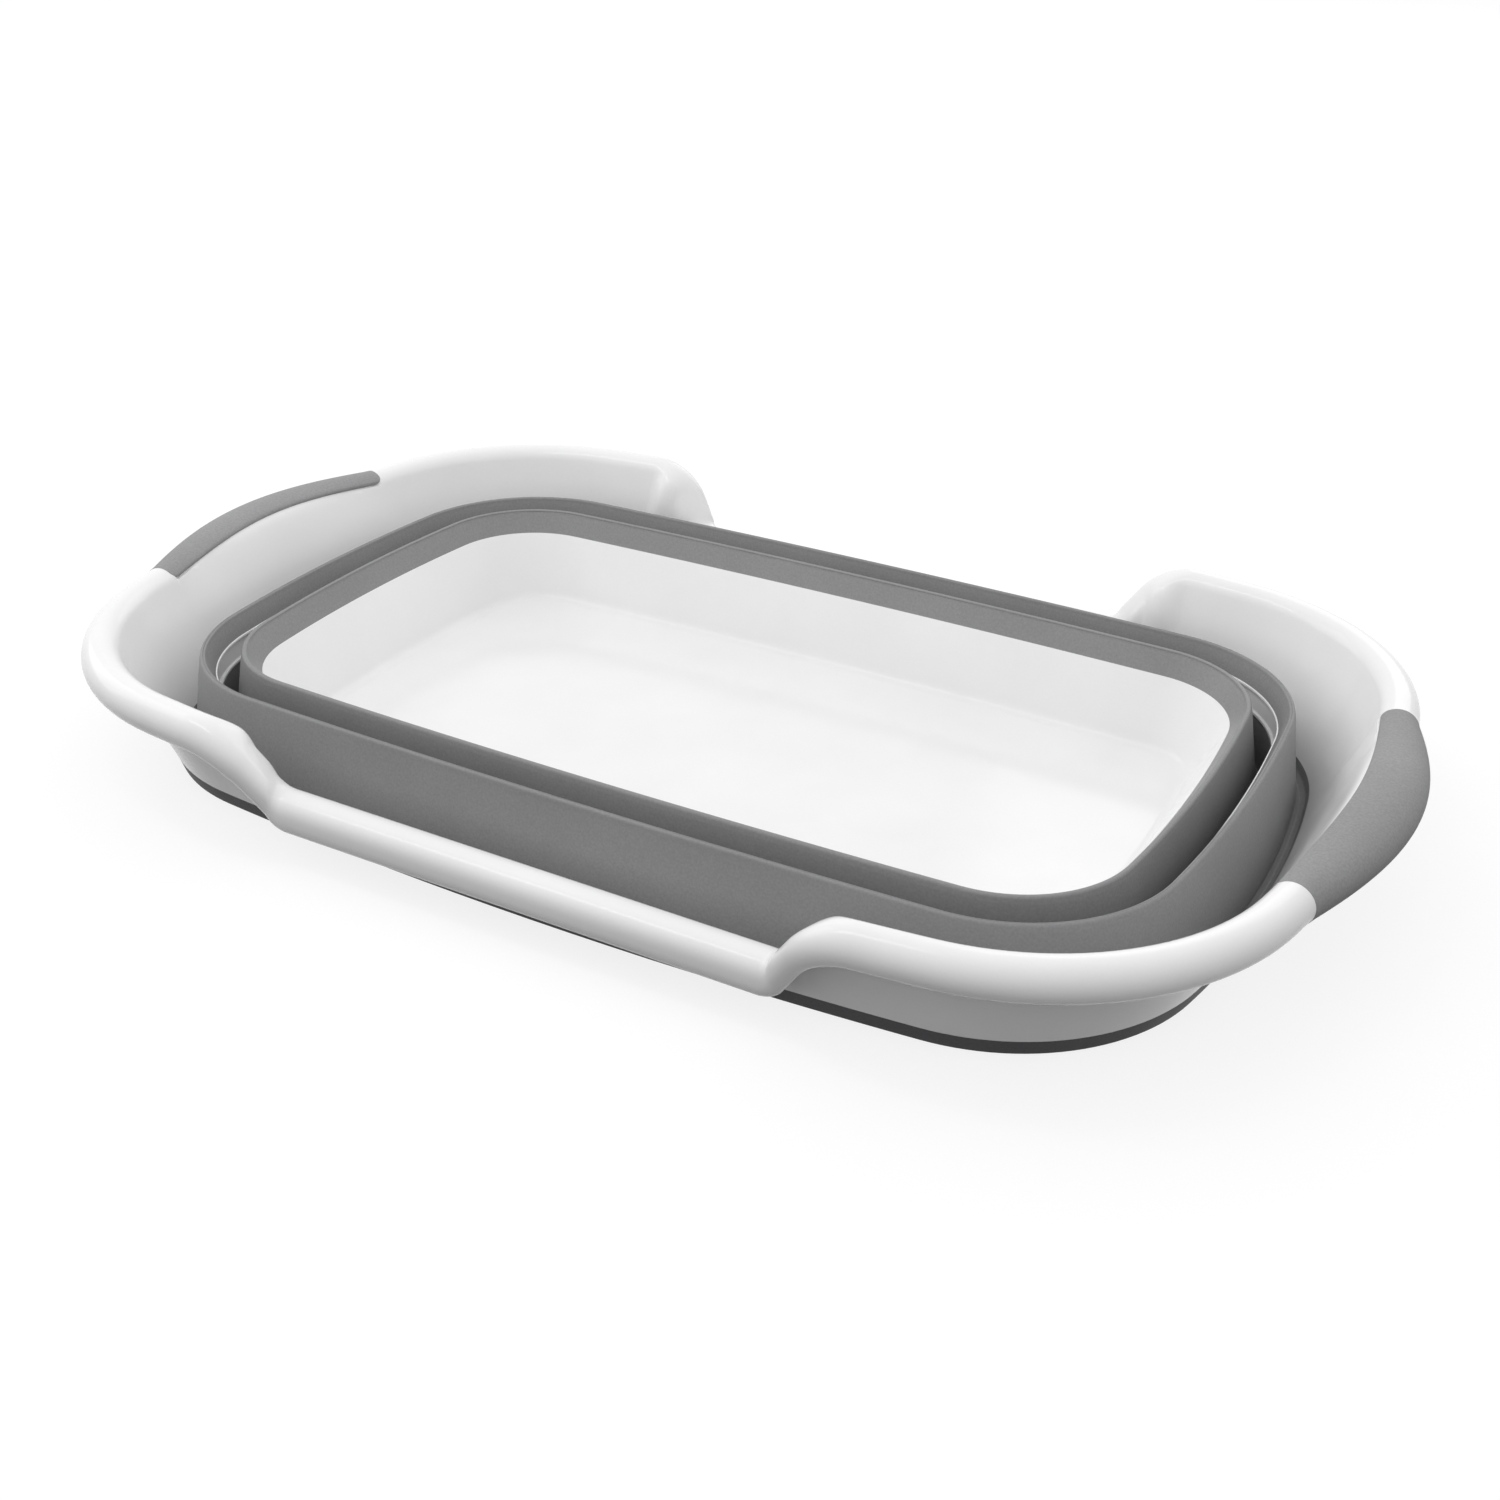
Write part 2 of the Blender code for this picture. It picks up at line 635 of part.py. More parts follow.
def roll_radius(station):
    """Return the roll's radius at a station, which is smaller in the recess under a grip."""
    in_recess = on_wing(station.centre) and abs(station.centre.y) < GRIP_HALF_LENGTH + RECESS_RAMP / 2
    return ROLL_RADIUS - GRIP_RECESS if in_recess else ROLL_RADIUS


def make_rim_frame(stations, end_shares, material, carrier):
    """Make the rim frame: a flared wall whose top rolls over and down, with recesses for the grips."""
    foot_height = FOOT_COLLAR_HEIGHT + SEAM_GAP
    outer_points = rim_points(WALL_FOOT, end_shares)
    inner_points = rim_points(WALL_FOOT.grown(-FOOT_WALL), end_shares)
    foot_outer = [Vector((*point, foot_height)) for point in outer_points]
    foot_inner = [Vector((*point, foot_height)) for point in inner_points]
    roll_inner = [station.point(WALL_ANGLE, ROLL_RADIUS) for station in stations]
    shoulder = [station.shoulder_point() for station in stations]
    bore_inner = [station.point(WALL_ANGLE, ROLL_RADIUS - ROLL_WALL) for station in stations]
    loops = [foot_inner, mix(foot_inner, roll_inner, MIDDLE_SHARE), roll_inner, shoulder]
    fans = [fan(station.recess_angle(), LIP_ANGLE, ROLL_STEPS) for station in stations]
    for step in range(ROLL_STEPS + 1):
        loops.append([
            station.point(angles[step], roll_radius(station)) for station, angles in zip(stations, fans)
        ])
    for angle in fan(LIP_ANGLE, WALL_ANGLE, BORE_STEPS):
        loops.append([station.point(angle, ROLL_RADIUS - ROLL_WALL) for station in stations])
    loops += [mix(bore_inner, foot_outer, MIDDLE_SHARE), foot_outer]
    return skin("rim_frame", loops, material, carrier)


def make_grip(name, end_shares, side, material, carrier):
    """Make one soft grip: a sleeve of even thickness over the swollen roll, in its recess."""
    ramp = SEAM_GAP / WING_END_RADIUS / WING.end_angle()
    places = [end_shares[1] + ramp, *end_shares[2:-2], end_shares[-2] - ramp]
    bore = ROLL_RADIUS - GRIP_RECESS + SEAM_GAP
    sections = []
    for share in places:
        point = WING.end_point(share)
        station = end_station(Vector((side * point.x, point.y, WING_HEIGHT)), side)
        covered = fan(station.recess_angle(), LIP_ANGLE, ROLL_STEPS)[1:-1]
        start = station.recess_angle() - GRIP_MARGIN_ANGLE
        angles = [start, *covered, LIP_ANGLE + GRIP_MARGIN_ANGLE]
        outer = [station.point(angle, ROLL_RADIUS) for angle in angles]
        inner = [station.point(angle, bore) for angle in reversed(angles)]
        sections.append(outer + inner)
    return skin(name, sections, material, carrier, closed=False)


def tier(name, parent):
    """Return an empty on the vertical sliding axis that carries one tier."""
    empty = bpy.data.objects.new(name, None)
    empty.parent = parent
    bpy.context.collection.objects.link(empty)
    return empty


def main():
    """Remove what is in the scene and build the bath."""
    for item in list(bpy.data.objects):
        bpy.data.objects.remove(item, do_unlink=True)

    white = plastic("white_polypropylene", (0.87, 0.87, 0.87), 0.2)
    grey = plastic("grey_elastomer", (0.26, 0.26, 0.263), 0.45)
    foot_grey = plastic("foot_elastomer", (0.095, 0.095, 0.1), 0.55)
    grip_grey = plastic("grip_elastomer", (0.32, 0.32, 0.325), 0.65)

    base = tier("base", None)
    middle = tier("middle_tier", base)
    rim = tier("rim_tier", middle)

    tray_collar = crest_collar(MOUTH, MOUTH_HEIGHT, INNER_CREST)
    ring_collar = crest_collar(RING.grown(RING_LEAN), RING_TOP, OUTER_CREST)
    foot_collar = ring_foot_collar()

    make_tray(tray_collar, white, base)
    make_crest_collar("inner_crest_collar", tray_collar, INNER_CREST, grey, base)
    make_web("inner_web", INNER_CREST, INNER_WEB_ROOT, grey, middle)
    make_ring_foot_collar(foot_collar, grey, middle)
    make_middle_ring(ring_collar, foot_collar, white, middle)
    make_crest_collar("outer_crest_collar", ring_collar, OUTER_CREST, grey, middle)
    make_web("outer_web", OUTER_CREST, OUTER_WEB_ROOT, grey, rim)
    make_foot_collar(foot_grey, rim)

    end_shares = grip_shares()
    make_rim_frame(roll_stations(end_shares), end_shares, white, rim)
    make_grip("grip_right", end_shares, 1, grip_grey, rim)
    make_grip("grip_left", end_shares, -1, grip_grey, rim)


if __name__ == "__main__":
    main()
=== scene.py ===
"""Visual model of a collapsible baby bath, folded flat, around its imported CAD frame.

Every CAD solid is replaced by a finer mesh of the same outline: the tray, the two soft bellows, the middle
ring, the rim frame with its rolled edge, and the two soft grips. Metres, +Z up. The grips are at -X and +X,
and the near long side is -Y.
"""

import logging
import math
from dataclasses import astuple, dataclass, replace
from enum import Enum

import bmesh
import bpy
from mathutils import Matrix, Vector


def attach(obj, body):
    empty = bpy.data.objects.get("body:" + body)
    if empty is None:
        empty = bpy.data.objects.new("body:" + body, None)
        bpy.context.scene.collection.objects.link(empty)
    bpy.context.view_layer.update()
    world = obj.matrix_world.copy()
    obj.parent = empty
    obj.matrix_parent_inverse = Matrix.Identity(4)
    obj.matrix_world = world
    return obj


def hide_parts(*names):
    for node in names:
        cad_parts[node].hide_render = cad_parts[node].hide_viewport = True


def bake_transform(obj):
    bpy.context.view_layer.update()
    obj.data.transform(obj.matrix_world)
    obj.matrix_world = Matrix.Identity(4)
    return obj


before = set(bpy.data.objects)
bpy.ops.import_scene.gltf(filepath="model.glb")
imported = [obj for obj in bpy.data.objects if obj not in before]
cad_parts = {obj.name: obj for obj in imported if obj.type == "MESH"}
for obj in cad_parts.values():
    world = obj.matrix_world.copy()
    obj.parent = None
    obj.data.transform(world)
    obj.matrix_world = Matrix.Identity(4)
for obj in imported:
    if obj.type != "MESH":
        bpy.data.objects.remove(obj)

LOG = logging.getLogger("baby_bath")

Loop = list[Vector]
Piece = bpy.types.Object
Socket = bpy.types.NodeSocket
Tree = bpy.types.NodeTree

MM = 0.001
SMOOTH_ANGLE = math.radians(40)


class Body(Enum):
    """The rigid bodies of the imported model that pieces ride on."""

    BASE = "base"
    MIDDLE = "middle"
    RIM = "rim"


class Slot(Enum):
    """The record's material slots."""

    WHITE = "white_plastic"
    GREY = "grey_elastomer"
    # The foot strip's slot, whose finish is the bellows' elastomer darkened with painted shade.
    FOOT = "foot_elastomer"
    GRIP = "grip_elastomer"


@dataclass(frozen=True)
class Outline:
    """A closed oval: each quarter is an end arc, a corner arc and a side arc, tangent to each other."""

    half_length: float
    half_width: float
    end_radius: float
    corner_radius: float
    side_radius: float

    def grown(self, distance: float) -> "Outline":
        """Return the parallel outline that lies this far outside."""
        return Outline(*[size + distance for size in astuple(self)])

    def stepped(
        self, ends: float, sides: float, corner: float, end_radius: float, side_radius: float
    ) -> "Outline":
        """Return an outline with stepped ends, sides and corner radius, and new radii for its long arcs."""
        length, width = self.half_length + ends, self.half_width + sides
        return Outline(length, width, end_radius, self.corner_radius + corner, side_radius)

    def corner_centre(self) -> Vector:
        """Return the centre of the corner arc, which touches the end arc and the side arc from inside."""
        end_centre = Vector((self.half_length - self.end_radius, 0))
        side_centre = Vector((0, self.half_width - self.side_radius))
        to_end = self.end_radius - self.corner_radius
        to_side = self.side_radius - self.corner_radius
        between = side_centre - end_centre
        along = (to_end ** 2 - to_side ** 2 + between.length_squared) / (2 * between.length)
        across = math.sqrt(to_end ** 2 - along ** 2)
        direction = between.normalized()
        return end_centre + direction * along + Vector((-direction.y, direction.x)) * across

    def end_angle(self) -> float:
        """Return half the angle of the end arc."""
        centre = self.corner_centre()
        return math.atan2(centre.y, centre.x - self.half_length + self.end_radius)

    def side_angle(self) -> float:
        """Return the direction in which the corner arc meets the side arc."""
        centre = self.corner_centre()
        return math.atan2(centre.y - self.half_width + self.side_radius, centre.x)

    def end_point(self, share: float) -> Vector:
        """Return a point of the end arc, at a share of its half angle."""
        angle = self.end_angle() * share
        across = self.end_radius * math.cos(angle) + self.half_length - self.end_radius
        return Vector((across, self.end_radius * math.sin(angle)))

    def corner_point(self, share: float) -> Vector:
        """Return a point of the corner arc, from the end arc at 0 to the side arc at 1."""
        angle = self.end_angle() + (self.side_angle() - self.end_angle()) * share
        return self.corner_centre() + self.corner_radius * Vector((math.cos(angle), math.sin(angle)))

    def side_point(self, share: float) -> Vector:
        """Return a point of the side arc.

        Args:
            share: 0 to 1 along the rail, 1 to 2 up the rise and 2 to 3 on to the corner.

        Returns:
            The point in plan, on the far side at +X.
        """
        corner_x = self.side_radius * math.cos(self.side_angle())
        if share <= 1:
            across = RISE.rail_half_length * share
        elif share <= 2:
            across = RISE.rail_half_length + RISE.length() * (share - 1)
        else:
            across = RISE.wing_start() + (corner_x - RISE.wing_start()) * (share - 2)
        rise = math.sqrt(self.side_radius ** 2 - across ** 2) + self.half_width - self.side_radius
        return Vector((across, rise))

    def ring(self, places: "Places") -> Loop:
        """Return the points round the whole outline, anticlockwise from the middle of the near side."""
        far_sides = [self.side_point(share) for share in places.sides]
        far_corners = [self.corner_point(share) for share in places.corners]
        near_sides = [Vector((point.x, -point.y)) for point in far_sides]
        near_corners = [Vector((point.x, -point.y)) for point in reversed(far_corners)]
        ends = [self.end_point(share) for share in places.ends]
        half = near_sides + near_corners + ends + far_corners + far_sides[::-1]
        return half + [Vector((-point.x, point.y)) for point in half[-2:0:-1]]


@dataclass(frozen=True)
class Places:
    """Where the stations round an outline lie, as shares of its arcs."""

    sides: tuple[float, ...]
    corners: tuple[float, ...]
    ends: tuple[float, ...]


@dataclass(frozen=True)
class Rise:
    """The S-shaped rise of the roll from a rail to a wing: a hollow arc, a straight slope, a shoulder arc."""

    wing_height: float = 0.0559
    rail_height: float = 0.0229
    rail_half_length: float = 0.122
    foot_radius: float = 0.0129
    shoulder_radius: float = 0.0301
    slope: float = math.radians(55.8)

    def height(self) -> float:
        """Return the height from rail to wing."""
        return self.wing_height - self.rail_height

    def length(self) -> float:
        """Return the length of the whole rise in plan."""
        arcs_height = (self.foot_radius + self.shoulder_radius) * (1 - math.cos(self.slope))
        straight = (self.height() - arcs_height) / math.tan(self.slope)
        return self.foot_radius * self.steepest() + straight + self.shoulder_radius * self.steepest()

    def wing_start(self) -> float:
        """Return how far from the middle of the side the wing starts."""
        return self.rail_half_length + self.length()

    def steepest(self) -> float:
        """Return the sine of the straight slope."""
        return math.sin(self.slope)

    def at(self, distance: float) -> tuple[float, float]:
        """Return the share of the rise and its slope at a distance from the middle of the side."""
        along = min(max(distance - self.rail_half_length, 0), self.length())
        left = self.length() - along
        if along < self.foot_radius * self.steepest():
            slope = math.asin(along / self.foot_radius)
            height = self.foot_radius * (1 - math.cos(slope))
        elif left < self.shoulder_radius * self.steepest():
            slope = math.asin(left / self.shoulder_radius)
            height = self.height() - self.shoulder_radius * (1 - math.cos(slope))
        else:
            slope = self.slope
            foot_height = self.foot_radius * (1 - math.cos(slope))
            height = foot_height + (along - self.foot_radius * self.steepest()) * math.tan(slope)
        return height / self.height(), slope


def evenly(start: float, end: float, steps: int) -> list[float]:
    """Return evenly spaced numbers from start to end, both included."""
    return [start + (end - start) * step / steps for step in range(steps + 1)]


def eased(share: float) -> float:
    """Return a share that starts and ends gently, clamped to 0 and 1."""
    share = min(max(share, 0.0), 1.0)
    return share * share * (3 - 2 * share)


def spaced(*stretches: tuple[float, float, int]) -> tuple[float, ...]:
    """Return numbers evenly spaced over stretches of (start, end, steps), without the last stretch's end."""
    return tuple(share for stretch in stretches for share in evenly(*stretch)[:-1])


RISE = Rise()

# The outlines of the folded bath in plan, all derived from the mouth of the tray.
MOUTH = Outline(
    half_length=0.2278, half_width=0.1231, end_radius=0.75, corner_radius=0.0484, side_radius=4.69
)
FLOOR = MOUTH.stepped(ends=-0.0184, sides=-0.0135, corner=-0.0184, end_radius=0.75, side_radius=4.69)
INNER_CREST = MOUTH.grown(0.0072)
INNER_WEB_ROOT = MOUTH.grown(0.0165)
RING = MOUTH.grown(0.0202)
OUTER_CREST = MOUTH.grown(0.0272)
WALL_FOOT = OUTER_CREST.stepped(ends=0.0206, sides=0.0262, corner=0.0206, end_radius=0.51, side_radius=1.97)
OUTER_WEB_ROOT = WALL_FOOT.grown(-0.0104)
WING = WALL_FOOT.stepped(ends=0.0285, sides=0.0256, corner=0.021, end_radius=0.5445, side_radius=1.613)

# Heights above the floor, with the bath folded flat.
CREST_HEIGHT = 0.0495
CREST_ROOT = 0.0465
MOUTH_HEIGHT = 0.038
RING_TOP = 0.0398
RING_BOTTOM = 0.0282
WEB_ROOT = 0.0055
TROUGH_HEIGHT = 0.0022

CREST_HALF_WIDTH = 0.002
RING_LEAN = 0.002
EDGE_THICKNESS = 0.004
WEB_THICKNESS = 0.0018
WEB_FOOT_RADIUS = 0.001
TROUGH_WIDTH = 0.002
TROUGH_RADIUS = 0.0008

# The roll's section: its exponents, how far it leans, thins and widens inwards on a rise, and how far it
# swells and shifts under a grip.
WING_POWER = 2.0
RAIL_POWER = 2.5
LEAN_SHARE = 0.27
THIN_SHARE = 0.07
WIDEN_SHARE = 1.2
WIDE_FROM_SHARE = 0.35
SWELL_ACROSS = 0.0071
SWELL_UP = 0.0024
SHIFT_OUT = 0.0056
SHIFT_UP = 0.0024

# A rounded corner takes up at most the first share of the way to its neighbours. Its support loops stand off
# by the second share of that.
REACH_SHARE = 0.45
HOLD_SHARE = 0.35

# Steps round an edge, a fold, a crest's bead, an outer fillet and the fillet of the tray's floor.
EDGE_STEPS = 3
FOLD_STEPS = 4
BEAD_STEPS = 5
FILLET_STEPS = 6
FLOOR_FILLET_STEPS = 12

# The rim's stations lie close on a rise and shortly before it, and round both ends of a grip.
CORNER_PLACES = tuple(evenly(0, 1, 26))
SOFT_PLACES = Places(spaced((0, 1, 6), (1, 2, 5), (2, 3, 4)), CORNER_PLACES, spaced((-1, 1, 24))[1:])
RIM_PLACES = Places(
    spaced((0, 0.88, 8), (0.88, 2, 44), (2, 3, 8)),
    CORNER_PLACES,
    spaced((-1, -0.93, 4), (-0.93, -0.8, 26), (-0.8, 0.85, 66), (0.85, 1, 30))[1:],
)


def at_height(outline: Outline, offset: float, height: float) -> Loop:
    """Return a loop of the soft places: an outline grown by an offset, at one height."""
    return [point.to_3d() + Vector((0, 0, height)) for point in outline.grown(offset).ring(SOFT_PLACES)]


def mix(low: Loop, high: Loop, share: float) -> Loop:
    """Return the loop that lies a share of the way from one loop to another."""
    return [a.lerp(b, share) for a, b in zip(low, high)]


@dataclass
class Bend:
    """One corner of a section, all round the piece, with the radius that rounds it."""

    loop: Loop
    radius: float = 0.0
    steps: int = EDGE_STEPS

    def rounded(self, before: Loop, after: Loop) -> list[Loop]:
        """Return the loops that round this corner.

        Args:
            before: the corner before this one.
            after: the corner after this one.

        Returns:
            One loop for a sharp corner, or an arc of loops with a support loop on both sides of it.
        """
        if not self.radius:
            return [self.loop]
        columns = [self.arc(a, b, c) for a, b, c in zip(before, self.loop, after)]
        return [list(points) for points in zip(*columns)]

    def arc(self, before: Vector, corner: Vector, after: Vector) -> Loop:
        """Return the points that round one corner at one station."""
        back, on = before - corner, after - corner
        half = back.angle(on) / 2
        reach = min(self.radius / math.tan(half), REACH_SHARE * back.length, REACH_SHARE * on.length)
        hold = HOLD_SHARE * reach
        back, on = back.normalized(), on.normalized()
        start, end = corner + back * reach, corner + on * reach
        centre = corner + (back + on).normalized() * (reach / math.cos(half))
        first, last = (start - centre).normalized(), (end - centre).normalized()
        spoke = (start - centre).length
        turn = [centre + first.slerp(last, share) * spoke for share in evenly(0, 1, self.steps)]
        return [start + back * hold, *turn, end + on * hold]


def section(bends: list[Bend]) -> list[Loop]:
    """Return the loops of a closed section with all its corners rounded."""
    loops = []
    for index, bend in enumerate(bends):
        before = bends[index - 1].loop
        after = bends[(index + 1) % len(bends)].loop
        loops += bend.rounded(before, after)
    return loops


def trough(root: Outline) -> list[Bend]:
    """Return the bends of a bellows' trough, from outside over the root of its web to its underside."""
    return [
        Bend(at_height(root, TROUGH_WIDTH, TROUGH_HEIGHT), TROUGH_RADIUS),
        Bend(at_height(root, 0, TROUGH_HEIGHT + WEB_THICKNESS), WEB_FOOT_RADIUS),
        Bend(at_height(root, 0, WEB_ROOT)),
        Bend(at_height(root, -WEB_THICKNESS, WEB_ROOT)),
        Bend(at_height(root, -WEB_THICKNESS, WEB_THICKNESS), WEB_FOOT_RADIUS),
        Bend(at_height(root, 0, 0), TROUGH_RADIUS),
    ]


def deselect_all() -> None:
    """Leave edit mode and deselect every object, also the CAD nodes that loading selects."""
    if bpy.context.object and bpy.context.object.mode != "OBJECT":
        bpy.ops.object.mode_set(mode="OBJECT")
    bpy.ops.object.select_all(action="DESELECT")


def finish_mesh(piece: Piece) -> None:
    """Point the faces outwards and shade the piece smooth, with its real edges sharp."""
    bpy.ops.object.mode_set(mode="EDIT")
    bpy.ops.mesh.select_all(action="SELECT")
    bpy.ops.mesh.normals_make_consistent(inside=False)
    bpy.ops.object.mode_set(mode="OBJECT")
    bpy.ops.object.shade_smooth_by_angle(angle=SMOOTH_ANGLE)
    piece.data.validate()


def select_edges(shape: bmesh.types.BMesh, rings: list[list[bmesh.types.BMVert]]) -> None:
    """Select only the edges that join the vertices of each ring."""
    bpy.ops.mesh.select_all(action="DESELECT")
    for ring in rings:
        for index, vert in enumerate(ring):
            shape.edges.get((ring[index - 1], vert)).select = True
            vert.select = True


def extrude_ring(name: str, loops: list[Loop], capped: bool = False) -> Piece:
    """Model a ring from a circle that is extruded through a list of loops.

    Args:
        name: the piece's name.
        loops: the loops of the section, each with one point per station.
        capped: close the first and the last loop with a flat face, not with each other.

    Returns:
        The finished piece.
    """
    deselect_all()
    bpy.ops.mesh.primitive_circle_add(vertices=len(loops[0]), radius=MOUTH.half_length)
    piece = bpy.context.object
    piece.name = piece.data.name = name
    bpy.ops.object.mode_set(mode="EDIT")
    shape = bmesh.from_edit_mesh(piece.data)
    first = list(shape.verts)
    for vert, point in zip(first, loops[0]):
        vert.co = point
    select_edges(shape, [first])
    ring = first
    for points in loops[1:]:
        bpy.ops.mesh.extrude_edges_indiv()
        ring = [
            next(edge.other_vert(vert) for edge in vert.link_edges if edge.other_vert(vert).select)
            for vert in ring
        ]
        for vert, point in zip(ring, points):
            vert.co = point
    if capped:
        bpy.ops.mesh.edge_face_add()
        select_edges(shape, [first])
        bpy.ops.mesh.edge_face_add()
    else:
        select_edges(shape, [first, ring])
        bpy.ops.mesh.bridge_edge_loops()
    bmesh.update_edit_mesh(piece.data)
    finish_mesh(piece)
    return piece


def linear(hex_colour: str) -> tuple[float, float, float, float]:
    """Return an sRGB hex colour as linear red, green, blue and alpha."""
    shares = [int(hex_colour[index:index + 2], 16) / 255 for index in (1, 3, 5)]
    light = [share / 12.92 if share <= 0.04045 else ((share + 0.055) / 1.055) ** 2.4 for share in shares]
    return (*light, 1.0)


def add_node(tree: Tree, kind: str, settings: dict | None = None, **links: Socket) -> bpy.types.Node:
    """Add a node to a tree.

    Args:
        tree: the node tree.
        kind: the node's type name.
        settings: attributes of the node, or values of its sockets by name.
        links: for each input socket, with _ for a blank, the output socket that feeds it.

    Returns:
        The new node.
    """
    node = tree.nodes.new(kind)
    for key, value in (settings or {}).items():
        if key in node.inputs:
            node.inputs[key].default_value = value
        else:
            setattr(node, key, value)
    for key, socket in links.items():
        tree.links.new(socket, node.inputs[key.replace("_", " ")])
    return node


POLYMER_IOR = 1.49
CLOUD_SIZE = 60 * MM
POLISH_SIZE = 25 * MM

# Nearly all of a noise's values lie between these two.
NOISE_LOW = 0.3
NOISE_HIGH = 0.7


def noise(tree: Tree, size: float, detail: float) -> Socket:
    """Return a noise on Object coordinates with spots of the given size."""
    place = add_node(tree, "ShaderNodeTexCoord").outputs["Object"]
    spots = add_node(tree, "ShaderNodeTexNoise", {"Scale": 1 / size, "Detail": detail}, Vector=place)
    return spots.outputs["Fac"]


def noise_range(tree: Tree, source: Socket, low: float, high: float) -> Socket:
    """Return a noise spread over the range from low to high."""
    ends = {"From Min": NOISE_LOW, "From Max": NOISE_HIGH, "To Min": low, "To Max": high}
    return add_node(tree, "ShaderNodeMapRange", ends, Value=source).outputs["Result"]


@dataclass(frozen=True)
class MouldedPlastic:
    """A moulded plastic finish, drawn by noise on Object coordinates.

    Attributes:
        name: the real material's name.
        light: the colour of most of the surface.
        dark: the colour that it drifts to in faint clouds.
        roughness: the lowest and highest roughness.
        grain: the size of the mould's texture.
        grain_depth: the height of that texture.
        wave: the length of the soft waves that cooling leaves in the surface.
        wave_depth: the height of those waves.
        specular: the strength of the reflections, where 0.5 is a plain polymer.
        speckle: how far the grain lightens and darkens the colour, as a share.
    """

    name: str
    light: str
    dark: str
    roughness: tuple[float, float]
    grain: float
    grain_depth: float
    wave: float
    wave_depth: float
    specular: float
    speckle: float

    def make(self) -> bpy.types.Material:
        """Build the material.

        Returns:
            A Principled material whose colour, roughness and bump all come from noise.
        """
        material = bpy.data.materials.new(self.name)
        material.use_nodes = True
        tree = material.node_tree
        shader = tree.nodes["Principled BSDF"]
        for key, value in {"IOR": POLYMER_IOR, "Specular IOR Level": self.specular, "Metallic": 0.0}.items():
            shader.inputs[key].default_value = value

        tint = add_node(tree, "ShaderNodeValToRGB", Fac=noise(tree, CLOUD_SIZE, 3.0))
        stops = tint.color_ramp.elements
        stops[0].position, stops[0].color = NOISE_LOW, linear(self.dark)
        stops[1].position, stops[1].color = NOISE_HIGH, linear(self.light)
        grain = noise(tree, self.grain, 2.0)
        fleck = noise_range(tree, grain, 1 - self.speckle, 1 + self.speckle)
        colour = add_node(
            tree, "ShaderNodeVectorMath", {"operation": "SCALE"}, Vector=tint.outputs["Color"], Scale=fleck
        )
        tree.links.new(colour.outputs["Vector"], shader.inputs["Base Color"])

        gloss = noise_range(tree, noise(tree, POLISH_SIZE, 4.0), *self.roughness)
        tree.links.new(gloss, shader.inputs["Roughness"])

        waves = noise(tree, self.wave, 1.0)
        bump = add_node(tree, "ShaderNodeBump", {"Distance": self.wave_depth}, Height=waves).outputs["Normal"]
        bump = add_node(tree, "ShaderNodeBump", {"Distance": self.grain_depth}, Height=grain, Normal=bump)
        tree.links.new(bump.outputs["Normal"], shader.inputs["Normal"])
        return material


# Glossy moulded polypropylene: a bright neutral white with soft long reflections that cooling waves bend a
# little. The grain is the mould's polish, drawn coarser than it is so that it shows.
POLYPROPYLENE = MouldedPlastic(
    name="gloss_moulded_polypropylene",
    light="#f4f4f4",
    dark="#f0f0f0",
    roughness=(0.13, 0.17),
    grain=1.2 * MM,
    grain_depth=0.003 * MM,
    wave=40 * MM,
    wave_depth=0.1 * MM,
    specular=0.3,
    speckle=0.006,
)
# Thermoplastic elastomer of the bellows: mid grey, satin. The spark-eroded texture of its mould shows as a
# fine speckle, drawn coarser than its 0.1 mm so that it shows.
BELLOWS_ELASTOMER = MouldedPlastic(
    name="satin_thermoplastic_elastomer",
    light="#8f8f90",
    dark="#8a8a8b",
    roughness=(0.4, 0.46),
    grain=1.1 * MM,
    grain_depth=0.05 * MM,
    wave=30 * MM,
    wave_depth=0.4 * MM,
    specular=0.15,
    speckle=0.07,
)
# The same elastomer in the strip that the bath stands on, darkened to paint the shade that falls on it there.
SHADED_FOOT_ELASTOMER = replace(
    BELLOWS_ELASTOMER,
    name="painted_shade_thermoplastic_elastomer",
    light="#58585a",
    dark="#525254",
    roughness=(0.5, 0.56),
)
# A lighter grade in the grips, with a matt texture against slipping.
GRIP_ELASTOMER = replace(
    BELLOWS_ELASTOMER,
    name="matt_grip_elastomer",
    light="#9c9c9d",
    dark="#969697",
    roughness=(0.6, 0.66),
    grain_depth=0.06 * MM,
    wave_depth=0.1 * MM,
    specular=0.07,
    speckle=0.08,
)


@dataclass
class Dresser:
    """The finishes of the slots, and the way in which a finished piece joins the frame."""

    finishes: dict[Slot, bpy.types.Material]

    def dress(self, piece: Piece, slot: Slot, replaces: tuple[str, ...]) -> Piece:
        """Give a piece its finish and its slot and let it stand for its CAD nodes."""
        piece.data.materials.clear()
        piece.data.materials.append(self.finishes[slot])
        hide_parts(*replaces)
        triangles = sum(len(face.vertices) - 2 for face in piece.data.polygons)
        LOG.info("%s: %d triangles, %s", piece.name, triangles, slot.value)
        return piece

    def rigid(self, piece: Piece, body: Body, slot: Slot, *replaces: str) -> None:
        """Dress a piece that rides on one body."""
        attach(self.dress(piece, slot, replaces), body.value)

    def web(self, piece: Piece, bodies: tuple[Body, Body], *replaces: str) -> None:
        """Dress a web, which turns over from its crest down to its trough, and bake its place into its mesh;
        it rides on no body.
        """
        self.dress(piece, Slot.GREY, replaces)
        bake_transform(piece)


